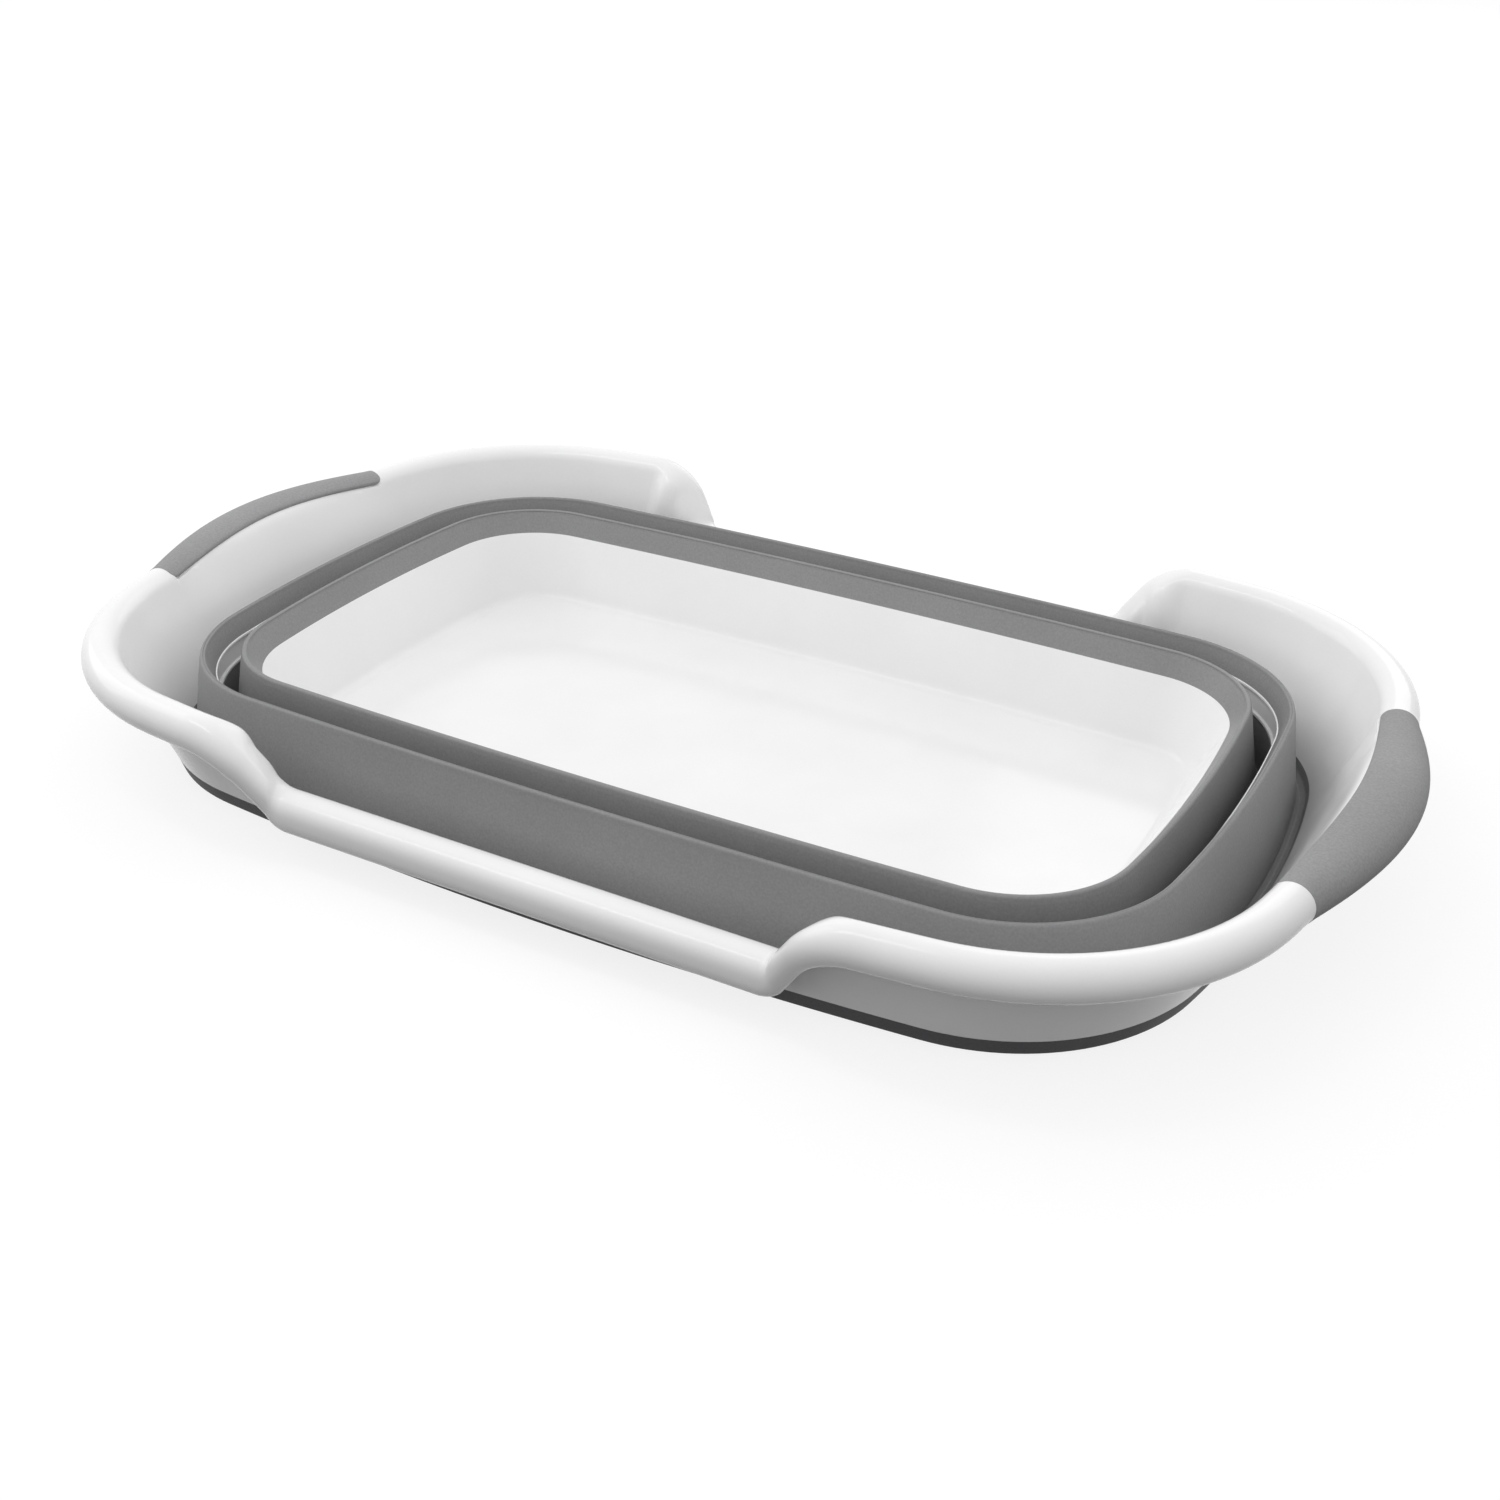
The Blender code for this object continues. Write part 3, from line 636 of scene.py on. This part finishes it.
@dataclass
class Tray:
    """The rigid white tray: a flat floor, a filleted leaning wall and a foot ring under it."""

    floor_top: float = 0.0035
    foot_height: float = 0.001
    foot_width: float = 0.014
    foot_bevel: float = 0.0025
    wall: float = 0.0028
    fillet: float = 0.006
    outer_fillet: float = 0.004
    foot_fillet: float = 0.002
    edge: float = 0.0004
    inset: float = 0.022
    inner_wall_share: float = 0.9
    band_share: float = 0.86
    wall_top_share: float = 0.8
    wall_foot_share: float = 0.15

    def face(self, share: float, offset: float) -> Loop:
        """Return a loop at a share of the wall's height, stepped out from its inner face."""
        return mix(at_height(FLOOR, offset, self.floor_top), at_height(MOUTH, offset, MOUTH_HEIGHT), share)

    def build(self, dresser: Dresser) -> None:
        """Model the tray and dress it."""
        bends = [
            Bend(at_height(FLOOR, -self.inset, self.floor_top)),
            Bend(self.face(0, 0), self.fillet, FLOOR_FILLET_STEPS),
            Bend(self.face(self.inner_wall_share, 0)),
            Bend(self.face(1, 0)),
            Bend(self.face(1, EDGE_THICKNESS)),
            Bend(self.face(self.band_share, EDGE_THICKNESS), self.edge),
            Bend(self.face(self.wall_top_share, self.wall), self.edge),
            Bend(self.face(self.wall_foot_share, self.wall), self.outer_fillet, FILLET_STEPS),
            Bend(at_height(FLOOR, 0, self.foot_height), self.foot_fillet, FOLD_STEPS),
            Bend(at_height(FLOOR, -self.foot_bevel, 0), self.edge),
            Bend(at_height(FLOOR, -self.foot_width, 0), self.edge),
            Bend(at_height(FLOOR, -self.foot_width - self.foot_height, self.foot_height), self.edge),
            Bend(at_height(FLOOR, -self.inset, self.foot_height)),
        ]
        piece = extrude_ring("tray_visual", section(bends), capped=True)
        dresser.rigid(piece, Body.BASE, Slot.WHITE, "tray")


@dataclass
class Bellows:
    """One soft bellows down to its trough: a collar on its inner edge, a crest and a web that turns over."""

    name: str
    edge: Outline
    edge_height: float
    crest: Outline
    root: Outline
    bodies: tuple[Body, Body]
    bead: float = 0.0014
    crest_inner: float = 0.0009
    crest_outer: float = 0.0014
    rise_share: float = 1.2
    rise_radius: float = 0.002
    web_step: float = 0.0022
    shoulder_radius: float = 0.004
    web_start_share: float = 0.12
    web_steps: int = 24

    def collar_line(self) -> tuple[Loop, Loop]:
        """Return the collar's inner face, from its edge up to where the crest starts."""
        inner_end = at_height(self.crest, -CREST_HALF_WIDTH, CREST_ROOT)
        return at_height(self.edge, 0, self.edge_height), inner_end

    def build_collar(self, dresser: Dresser) -> None:
        """Model the collar below the crest."""
        inner_edge, inner_end = self.collar_line()
        outer_edge = at_height(self.edge, EDGE_THICKNESS, self.edge_height)
        outer_end = at_height(self.crest, CREST_HALF_WIDTH - WEB_THICKNESS, CREST_ROOT)
        loops = [inner_edge, mix(inner_edge, inner_end, 0.5), inner_end, outer_end, outer_edge]
        piece = extrude_ring(f"{self.name}_crest_collar_visual", loops)
        dresser.rigid(piece, self.bodies[0], Slot.GREY, f"{self.name}_crest_collar")

    def build_web(self, dresser: Dresser) -> None:
        """Model the crest and the web that hangs from it."""
        inner_edge, inner_end = self.collar_line()
        web_top = at_height(self.crest, self.web_step, CREST_ROOT)
        web_end = at_height(self.root, 0, WEB_ROOT)
        outer_shares = evenly(self.web_start_share, 1, self.web_steps)
        inner_shares = evenly(1, self.web_start_share, self.web_steps // 2)
        bends = [
            Bend(inner_end),
            Bend(mix(inner_edge, inner_end, self.rise_share), self.rise_radius),
            Bend(at_height(self.crest, -self.crest_inner, CREST_HEIGHT), self.bead, BEAD_STEPS),
            Bend(at_height(self.crest, self.crest_outer, CREST_HEIGHT), self.bead, BEAD_STEPS),
            Bend(web_top, self.shoulder_radius, FOLD_STEPS),
            *[Bend(mix(web_top, web_end, share)) for share in outer_shares],
            *[Bend(self.web_inside(web_top, web_end, share)) for share in inner_shares],
            Bend(at_height(self.crest, CREST_HALF_WIDTH - WEB_THICKNESS, CREST_ROOT)),
        ]
        piece = extrude_ring(f"{self.name}_web_visual", section(bends))
        dresser.web(piece, self.bodies, f"{self.name}_web")

    def web_inside(self, top: Loop, end: Loop, share: float) -> Loop:
        """Return a loop on the inner face of the web."""
        outer = mix(top, end, share)
        return [point - Vector((point.x, point.y, 0)).normalized() * WEB_THICKNESS for point in outer]

    def build(self, dresser: Dresser) -> None:
        """Model the collar and the web."""
        self.build_collar(dresser)
        self.build_web(dresser)


@dataclass
class MiddleRing:
    """The rigid white middle ring, with a lip along its top and its bottom, and the soft collar under it."""

    lip: float = 0.0012
    top_lip: float = 0.0006
    lip_height: float = 0.0014
    lip_slope: float = 1.2
    edge: float = 0.0004
    collar_step: float = 0.0003
    collar_drop: float = 0.001
    collar_radius: float = 0.002
    foot_radius: float = 0.0012

    def face(self, share: float, offset: float) -> Loop:
        """Return a loop at a share of the ring's height, stepped out from its inner face."""
        height = RING_BOTTOM + (RING_TOP - RING_BOTTOM) * share
        return at_height(RING, RING_LEAN * share + offset, height)

    def build_ring(self, dresser: Dresser) -> None:
        """Model the ring."""
        lip_share = self.lip_height / (RING_TOP - RING_BOTTOM)
        profile = [
            (1 - self.lip_slope * lip_share, self.lip),
            (1 - lip_share, -self.top_lip),
            (1, -self.top_lip),
            (1, EDGE_THICKNESS),
            (0, EDGE_THICKNESS),
            (0, 0),
            (lip_share, 0),
            (self.lip_slope * lip_share, self.lip),
        ]
        bends = [Bend(self.face(0.5, self.lip)), *[Bend(self.face(*place), self.edge) for place in profile]]
        piece = extrude_ring("middle_ring_visual", section(bends))
        dresser.rigid(piece, Body.MIDDLE, Slot.WHITE, "middle_ring")

    def build_collar(self, dresser: Dresser) -> None:
        """Model the soft collar under the ring, with the trough that the inner web rises from."""
        step = self.collar_step
        bends = [
            Bend(at_height(RING, 0, RING_BOTTOM)),
            Bend(at_height(RING, step, RING_BOTTOM - self.collar_drop), self.edge),
            Bend(at_height(RING, step, WEB_ROOT), self.collar_radius, FOLD_STEPS),
            *trough(INNER_WEB_ROOT),
            Bend(at_height(RING, EDGE_THICKNESS, 0), self.foot_radius, FOLD_STEPS),
            Bend(at_height(RING, EDGE_THICKNESS, RING_BOTTOM)),
        ]
        piece = extrude_ring("inner_foot_collar_visual", section(bends))
        dresser.rigid(piece, Body.MIDDLE, Slot.GREY, "inner_foot_collar")

    def build(self, dresser: Dresser) -> None:
        """Model the ring and its collar."""
        self.build_ring(dresser)
        self.build_collar(dresser)


@dataclass
class Station:
    """One place along the rim's roll: its centre, the directions of its section and its form there."""

    centre: Vector
    outward: Vector
    upward: Vector
    wing_share: float = 1.0
    steepness: float = 0.0
    swell: float = 0.0

    def slope_share(self) -> float:
        """Return how steep the roll is here, from 0 where it is level to 1 on the straight slope."""
        return eased(self.steepness / RISE.steepest())

    def point(self, angle: float, radius: float) -> Vector:
        """Return a point of the section.

        Args:
            angle: the angle in degrees from the outer side, over the top to the inner side.
            radius: the roll's radius before it swells.

        Returns:
            The point in space.
        """
        cosine, sine = math.cos(math.radians(angle)), math.sin(math.radians(angle))
        power = RAIL_POWER + (WING_POWER - RAIL_POWER) * self.wing_share
        thinned = 1 - THIN_SHARE * self.steepness
        reach = thinned / (abs(cosine) ** power + abs(sine) ** power) ** (1 / power)
        widening = self.slope_share() * eased(self.wing_share / WIDE_FROM_SHARE)
        spread = 1 + WIDEN_SHARE * widening * RISE.steepest() if cosine < 0 else 1
        across = (radius + SWELL_ACROSS * self.swell) * cosine * reach * spread + SHIFT_OUT * self.swell
        rise = (radius + SWELL_UP * self.swell) * sine * reach + SHIFT_UP * self.swell
        return self.centre + self.outward * across + self.upward * rise


@dataclass
class RimFrame:
    """The rigid rim frame: a flared wall that rolls over at the top and curls back down to a free lip.

    Angles are in degrees. The climbs raise the wall's top beside a grip and on a rise, and the turn shares
    say how early the wall bends towards the roll.
    """

    roll_radius: float = 0.0094
    shell: float = 0.0027
    foot_height: float = 0.008
    foot_wall: float = 0.0045
    rail_step: float = 0.0073
    wall_angle: float = 160.0
    lip_angle: float = -60.0
    grip_half_length: float = 0.0845
    grip_shift: float = 0.0025
    grip_ease: float = 0.005
    recess: float = 0.0018
    recess_margin: float = 0.001
    recess_ramp: float = 0.003
    wall_ramp: float = 0.03
    wall_blend: float = 5.0
    grip_wall_climb: float = 18.5
    rise_climb: float = 34.0
    rise_turn_share: float = 0.15
    start_share: float = 0.35
    turn_share: float = 0.4
    grip_turn_share: float = 0.1
    grip_turn_swell: float = 0.6
    wall_steps: int = 18
    roll_steps: int = 48
    lip_steps: int = 6
    bore_steps: int = 22
    back_steps: int = 8

    def swell(self, distance: float) -> float:
        """Return the share of the full swell at a distance from the middle of a grip."""
        past = self.grip_half_length + self.grip_ease - distance
        if past <= 0:
            return 0.0
        edge = math.pi / 2 / self.grip_half_length
        if past < 2 * self.grip_ease:
            return edge * past ** 2 / (4 * self.grip_ease)
        return math.cos(math.pi / 2 * distance / self.grip_half_length)

    def end_station(self, point: Vector) -> Station:
        """Return the station at a point of the wing's end arc, on the +X or the -X end."""
        arc_centre = Vector((math.copysign(1, point.x) * (WING.half_length - WING.end_radius), 0, 0))
        outward = (Vector((point.x, point.y, 0)) - arc_centre).normalized()
        centre = Vector((point.x, point.y, RISE.wing_height))
        return Station(centre, outward, Vector((0, 0, 1)), swell=self.swell(abs(point.y - self.grip_shift)))

    def side_station(self, centre: Vector, along: Vector) -> Station:
        """Return the station at a place on a corner or a side, with the direction along the roll."""
        share, slope = RISE.at(abs(centre.x))
        lean = math.copysign(slope * LEAN_SHARE, centre.x)
        outward = Vector((along.y, -along.x, 0)).normalized()
        upward = Vector((-math.sin(lean), 0, math.cos(lean)))
        return Station(centre, outward, upward, share, math.sin(slope))

    def stations(self) -> list[Station]:
        """Return the stations of the roll, anticlockwise from the middle of the near side."""
        rail_line = WALL_FOOT.half_width + self.rail_step
        end_reach = abs(WING.end_point(1).y)
        centres = []
        for point in WING.ring(RIM_PLACES):
            share = RISE.at(abs(point.x))[0]
            across = rail_line + (abs(point.y) - rail_line) * share if share < 1 else abs(point.y)
            height = RISE.rail_height + RISE.height() * share
            centres.append(Vector((point.x, math.copysign(across, point.y), height)))
        found = []
        for index, centre in enumerate(centres):
            along = centres[(index + 1) % len(centres)] - centres[index - 1]
            if abs(centre.x) > RISE.wing_start() and abs(centre.y) < end_reach:
                found.append(self.end_station(centre))
            else:
                found.append(self.side_station(centre, along))
        return found

    def top_angle(self, station: Station) -> float:
        """Return the angle at which the wall meets the roll, higher beside a grip and on a rise."""
        climb = self.grip_wall_climb * station.swell + self.rise_climb * station.slope_share()
        return self.wall_angle - climb

    def inside_end(self, station: Station) -> float:
        """Return how far a place lies inside the nearer end of its grip, and 0 or less outside the grips."""
        if abs(station.centre.x) < RISE.wing_start():
            return 0.0
        return self.grip_half_length - abs(station.centre.y - self.grip_shift)

    def radius(self, station: Station) -> float:
        """Return the roll's radius, which drops under a grip and along the grip's inner edge."""
        inside = self.inside_end(station) - self.recess_margin
        return self.roll_radius - self.recess * eased(inside / self.recess_ramp)

    def wall_radius(self, station: Station) -> float:
        """Return the roll's radius at the wall's top, which drops slowly so that the wall has no crease."""
        return self.roll_radius - self.recess * eased(self.inside_end(station) / self.wall_ramp)

    def skin_point(self, station: Station, share: float) -> Vector:
        """Return a point of the roll's skin, at a share of the way from the wall's top to the lip."""
        below_top = (self.top_angle(station) - self.lip_angle) * share
        start, end = self.wall_radius(station), self.radius(station)
        radius = start + (end - start) * eased(below_top / self.wall_blend)
        return station.point(self.top_angle(station) - below_top, radius)

    def bore_point(self, station: Station, share: float) -> Vector:
        """Return a point of the roll's bore, at a share of the way from the lip to the wall's top."""
        angle = self.lip_angle + (self.top_angle(station) - self.lip_angle) * share
        return station.point(angle, self.roll_radius - self.shell)

    def build(self, dresser: Dresser) -> None:
        """Model the frame and dress it."""
        stations = self.stations()
        foot_inner, foot_outer = [
            [Vector((*point, self.foot_height)) for point in outline.ring(RIM_PLACES)]
            for outline in (WALL_FOOT.grown(-self.foot_wall), WALL_FOOT)
        ]
        loops = [self.wall(foot_inner, stations, share) for share in evenly(0, 1, self.wall_steps)[:-1]]
        for share in evenly(0, 1, self.roll_steps):
            loops.append([self.skin_point(station, share) for station in stations])
        loops += self.lip(stations)
        for share in evenly(0, 1, self.bore_steps):
            loops.append([self.bore_point(station, share) for station in stations])
        bore_inner = loops[-1]
        loops += [mix(bore_inner, foot_outer, share) for share in evenly(0, 1, self.back_steps)[1:]]
        piece = extrude_ring("rim_frame_visual", loops)
        dresser.rigid(piece, Body.RIM, Slot.WHITE, "rim_frame")

    def lip(self, stations: list[Station]) -> list[Loop]:
        """Return the loops that round the free edge of the lip."""
        loops = []
        for turn in evenly(math.pi / 2, -math.pi / 2, self.lip_steps)[1:-1]:
            past = math.degrees(self.shell / 2 * math.cos(turn) / self.roll_radius)
            radius = self.roll_radius - self.shell / 2 + self.shell / 2 * math.sin(turn)
            loop = []
            for station in stations:
                dropped = self.roll_radius - self.radius(station)
                loop.append(station.point(self.lip_angle - past, radius - dropped * (1 + math.sin(turn)) / 2))
            loops.append(loop)
        return loops

    def wall(self, foot: Loop, stations: list[Station], share: float) -> Loop:
        """Return a loop of the wall's inner face, straight at its foot and smooth where it meets the roll."""
        loop = []
        for low, station in zip(foot, stations):
            high = self.skin_point(station, 0)
            tangent = station.point(self.top_angle(station) - 1, self.wall_radius(station)) - high
            chord = high - low
            turn = self.turn_share
            turn += (self.grip_turn_share - self.turn_share) * eased(station.swell / self.grip_turn_swell)
            turn += (self.rise_turn_share - self.turn_share) * station.slope_share()
            control = high - tangent.normalized() * chord.length * turn
            start = low + chord * self.start_share
            a, b, c = low.lerp(start, share), start.lerp(control, share), control.lerp(high, share)
            loop.append(a.lerp(b, share).lerp(b.lerp(c, share), share))
        return loop


@dataclass
class Grips:
    """The two soft grips, moulded over the swollen roll at both ends, with a thick rounded inner edge."""

    rim: RimFrame
    proud: float = 0.00012
    thickness: float = 0.0018
    edge_radius: float = 0.0019
    inner_angle: float = 154.0
    climb: float = 22.0
    corner: float = 0.006
    corner_angle: float = 30.0
    lip_margin: float = 4.0
    places: int = 90
    steps: int = 40
    edge_steps: int = 8
    corner_fullness: float = 0.999
    soft_edge: float = 0.0003
    soft_steps: int = 2
    soft_angle: float = 50.0

    def reach(self, from_edge: float) -> float:
        """Return the grip's half length at an angle from its inner edge, less in its rounded corners."""
        into_corner = max(1 - from_edge / self.corner_angle, 0)
        along_corner = math.sqrt(1 - into_corner ** 2 * self.corner_fullness)
        return self.rim.grip_half_length - self.corner * (1 - along_corner)

    def build_one(self, dresser: Dresser, name: str, side: float) -> None:
        """Model one grip.

        Args:
            dresser: it dresses the piece.
            name: the CAD node that the grip stands for.
            side: 1 for the +X end and -1 for the -X end.
        """
        deselect_all()
        rows = self.steps + self.edge_steps
        bpy.ops.mesh.primitive_grid_add(x_subdivisions=self.places, y_subdivisions=rows, size=2)
        piece = bpy.context.object
        piece.name = piece.data.name = f"{name}_visual"
        for vert in piece.data.vertices:
            vert.co = self.surface(vert.co.x, round((vert.co.y + 1) / 2 * rows), side)
        finish_mesh(piece)
        if (piece.data.polygons[len(piece.data.polygons) // 2].normal.x > 0) != (side > 0):
            piece.data.flip_normals()
        thicken = piece.modifiers.new("thickness", "SOLIDIFY")
        thicken.thickness = self.thickness
        thicken.offset = -1
        bpy.ops.object.modifier_apply(modifier=thicken.name)
        soften = piece.modifiers.new("rounded_edge", "BEVEL")
        soften.width = self.soft_edge
        soften.segments = self.soft_steps
        soften.limit_method = "ANGLE"
        soften.angle_limit = math.radians(self.soft_angle)
        bpy.ops.object.modifier_apply(modifier=soften.name)
        finish_mesh(piece)
        dresser.rigid(piece, Body.RIM, Slot.GRIP, name)

    def edge_turn(self, row: int) -> float:
        """Return how far a row has turned round the inner edge, in radians."""
        return math.pi / 2 * max(row - self.steps, 0) / self.edge_steps

    def from_edge(self, row: int, span: float) -> float:
        """Return a row's angle in degrees from the inner edge of a grip that spans the given angle."""
        rounding = math.degrees(self.edge_radius / self.rim.roll_radius)
        if row > self.steps:
            return rounding * (1 - math.sin(self.edge_turn(row)))
        return rounding + (span - rounding) * (1 - row / self.steps)

    def surface(self, along: float, row: int, side: float) -> Vector:
        """Return a point of the grip's outer surface.

        Args:
            along: -1 to 1 from the near to the far end.
            row: counted from the outer lower edge, with the last rows round the inner edge.
            side: 1 for the +X end and -1 for the -X end.

        Returns:
            The point in space.
        """
        lip = self.rim.lip_angle + self.lip_margin
        y = self.rim.grip_shift + along * self.reach(self.from_edge(row, self.inner_angle - lip))
        arc = math.asin(y / WING.end_radius) / WING.end_angle()
        point = WING.end_point(arc)
        station = self.rim.end_station(Vector((side * point.x, point.y)))
        inner = self.inner_angle - self.climb * station.swell
        drop = self.edge_radius * (1 - math.cos(self.edge_turn(row)))
        radius = self.rim.roll_radius + self.proud - drop
        return station.point(inner - self.from_edge(row, inner - lip), radius)

    def build(self, dresser: Dresser) -> None:
        """Model both grips."""
        self.build_one(dresser, "grip_right", 1)
        self.build_one(dresser, "grip_left", -1)


@dataclass
class FootCollar:
    """The soft collar under the rim frame's wall: a strip outside, darkened with painted shade, and the
    bellows' trough behind it.
    """

    height: float = 0.008
    flare: float = 0.0026
    strip: float = 0.0015
    wall: float = 0.0045
    foot_radius: float = 0.0012
    slope: float = 0.0013
    fold_radius: float = 0.002

    def build_strip(self, dresser: Dresser) -> None:
        """Model the strip that shows outside, which the folded bath stands on, darkened with painted shade.
        """
        bends = [
            Bend(at_height(WALL_FOOT, -self.flare, 0), self.foot_radius, FOLD_STEPS),
            Bend(at_height(WALL_FOOT, 0, self.height)),
            Bend(at_height(WALL_FOOT, -self.strip, self.height)),
            Bend(at_height(WALL_FOOT, -self.flare - self.strip, 0)),
        ]
        piece = extrude_ring("outer_foot_strip_visual", section(bends))
        dresser.rigid(piece, Body.RIM, Slot.FOOT, "outer_foot_collar")

    def build_trough(self, dresser: Dresser) -> None:
        """Model the trough that the outer web rises from."""
        fold = at_height(WALL_FOOT, -self.wall - self.slope, TROUGH_HEIGHT + WEB_THICKNESS)
        bends = [
            Bend(at_height(WALL_FOOT, -self.flare - self.strip, 0)),
            Bend(at_height(WALL_FOOT, -self.strip, self.height)),
            Bend(at_height(WALL_FOOT, -self.wall, self.height)),
            Bend(fold, self.fold_radius, FOLD_STEPS),
            *trough(OUTER_WEB_ROOT),
        ]
        piece = extrude_ring("outer_foot_collar_visual", section(bends))
        dresser.rigid(piece, Body.RIM, Slot.GREY, "outer_foot_collar")

    def build(self, dresser: Dresser) -> None:
        """Model the strip and the trough."""
        self.build_strip(dresser)
        self.build_trough(dresser)


@dataclass(frozen=True)
class Lamp:
    """A rectangular softbox.

    Attributes:
        name: the lamp's name.
        place: where it hangs.
        target: the point that it faces.
        size: its length and its width.
        level: the brightness of its face, where 1 is a white surface in plain light.
    """

    name: str
    place: tuple[float, float, float]
    target: tuple[float, float, float]
    size: tuple[float, float]
    level: float

    def build(self) -> None:
        """Hang the lamp."""
        deselect_all()
        bpy.ops.object.light_add(type="AREA", location=self.place)
        lamp = bpy.context.object
        lamp.name = self.name
        lamp.data.shape = "RECTANGLE"
        lamp.data.size, lamp.data.size_y = self.size
        lamp.data.energy = self.level * math.pi * self.size[0] * self.size[1]
        lamp.rotation_euler = (Vector(self.target) - Vector(self.place)).to_track_quat("-Z", "Y").to_euler()


@dataclass
class Studio:
    """The plain stage: a pale floor, a white surround, soft lamps and the camera at the photo's angle."""

    floor_half_size: float = 9.0
    floor_drop: float = 0.0002
    floor_shown: str = "#7c7c7c"
    floor_bounce: str = "#202020"
    floor_glow: float = 0.82
    world_light: float = 0.84
    lamps: tuple[Lamp, ...] = (
        Lamp("strip_softbox", place=(-0.7, -0.31, 1.5), target=(-0.7, -0.31, 0), size=(1.1, 0.22), level=4.5),
        Lamp("left_softbox", place=(-2.4, 0, 1.3), target=(0, 0, 0), size=(1.6, 1.6), level=1.3),
        Lamp("far_softbox", place=(0, 2.4, 1.3), target=(0, 0, 0), size=(1.6, 1.6), level=1.1),
    )
    lens: float = 46.25
    sensor: float = 36.0
    clip_start: float = 0.01
    yaw: float = -0.5195
    pitch: float = 0.4963
    roll: float = 0.0087
    camera_place: tuple[float, float, float] = (0.4270, -0.7310, 0.4611)

    def seen(self, tree: Tree) -> Socket:
        """Return a socket that is 1 where a ray comes from the camera, a reflection or a transmission."""
        path = add_node(tree, "ShaderNodeLightPath")
        seen = path.outputs["Is Camera Ray"]
        for kind in ("Is Glossy Ray", "Is Transmission Ray"):
            either = add_node(tree, "ShaderNodeMath", {"operation": "MAXIMUM"})
            tree.links.new(seen, either.inputs[0])
            tree.links.new(path.outputs[kind], either.inputs[1])
            seen = either.outputs["Value"]
        return seen

    def build_world(self) -> None:
        """Set a world that shows white and lights the object at a plain level."""
        world = bpy.data.worlds.new("white_surround")
        world.use_nodes = True
        bpy.context.scene.world = world
        tree = world.node_tree
        tree.nodes.clear()
        ends = {"To Min": self.world_light, "To Max": 1.0}
        strength = add_node(tree, "ShaderNodeMapRange", ends, Value=self.seen(tree)).outputs["Result"]
        light = add_node(tree, "ShaderNodeBackground", {"Color": (1, 1, 1, 1)}, Strength=strength)
        add_node(tree, "ShaderNodeOutputWorld", Surface=light.outputs["Background"])

    def build_floor(self) -> None:
        """Lay the floor, which shows white where it is lit and keeps the object's shadow."""
        deselect_all()
        bpy.ops.mesh.primitive_plane_add(size=2 * self.floor_half_size, location=(0, 0, -self.floor_drop))
        floor = bpy.context.object
        floor.name = "floor"
        material = bpy.data.materials.new("pale_studio_floor")
        material.use_nodes = True
        tree = material.node_tree
        tree.nodes.clear()
        seen = self.seen(tree)
        colours = {"Color1": linear(self.floor_bounce), "Color2": linear(self.floor_shown)}
        colour = add_node(tree, "ShaderNodeMixRGB", colours, Fac=seen)
        matt = add_node(tree, "ShaderNodeBsdfDiffuse", Color=colour.outputs["Color"])
        shine = add_node(tree, "ShaderNodeMapRange", {"To Min": 0.0, "To Max": self.floor_glow}, Value=seen)
        glow = add_node(tree, "ShaderNodeEmission", Strength=shine.outputs["Result"])
        both = add_node(tree, "ShaderNodeAddShader")
        tree.links.new(matt.outputs["BSDF"], both.inputs[0])
        tree.links.new(glow.outputs["Emission"], both.inputs[1])
        add_node(tree, "ShaderNodeOutputMaterial", Surface=both.outputs["Shader"])
        floor.data.materials.append(material)

    def build_camera(self) -> None:
        """Place the camera at the photo's angle."""
        data = bpy.data.cameras.new("camera")
        camera = bpy.data.objects.new("camera", data)
        bpy.context.collection.objects.link(camera)
        data.lens = self.lens
        data.sensor_width = self.sensor
        data.clip_start = self.clip_start
        turn = Matrix.Rotation(-self.yaw, 4, "Z") @ Matrix.Rotation(math.pi / 2 - self.pitch, 4, "X")
        turn @= Matrix.Rotation(self.roll, 4, "Z")
        camera.matrix_world = Matrix.Translation(self.camera_place) @ turn
        bpy.context.scene.camera = camera

    def build(self) -> None:
        """Build the stage, the lamps and the camera."""
        bpy.context.scene.view_settings.view_transform = "Standard"
        self.build_world()
        self.build_floor()
        for lamp in self.lamps:
            lamp.build()
        self.build_camera()


def corners(box: tuple[Vector, Vector]) -> list[list[float]]:
    """Return a box as plain lists of numbers."""
    return [list(corner) for corner in box]


def main() -> None:
    """Build the assemblies of the bath and its stage."""
    logging.basicConfig(level=logging.INFO, format="%(message)s")
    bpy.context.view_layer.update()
    recipes = {
        Slot.WHITE: POLYPROPYLENE,
        Slot.GREY: BELLOWS_ELASTOMER,
        # The foot strip takes the bellows' elastomer darkened with painted shade.
        Slot.FOOT: SHADED_FOOT_ELASTOMER,
        Slot.GRIP: GRIP_ELASTOMER,
    }
    dresser = Dresser({slot: recipe.make() for slot, recipe in recipes.items()})
    rim = RimFrame()
    inner = Bellows("inner", MOUTH, MOUTH_HEIGHT, INNER_CREST, INNER_WEB_ROOT, (Body.BASE, Body.MIDDLE))
    ring_top = RING.grown(RING_LEAN)
    outer = Bellows("outer", ring_top, RING_TOP, OUTER_CREST, OUTER_WEB_ROOT, (Body.MIDDLE, Body.RIM))
    for assembly in (Tray(), inner, MiddleRing(), outer, FootCollar(), rim, Grips(rim)):
        assembly.build(dresser)
    Studio().build()


if __name__ == "__main__":
    main()
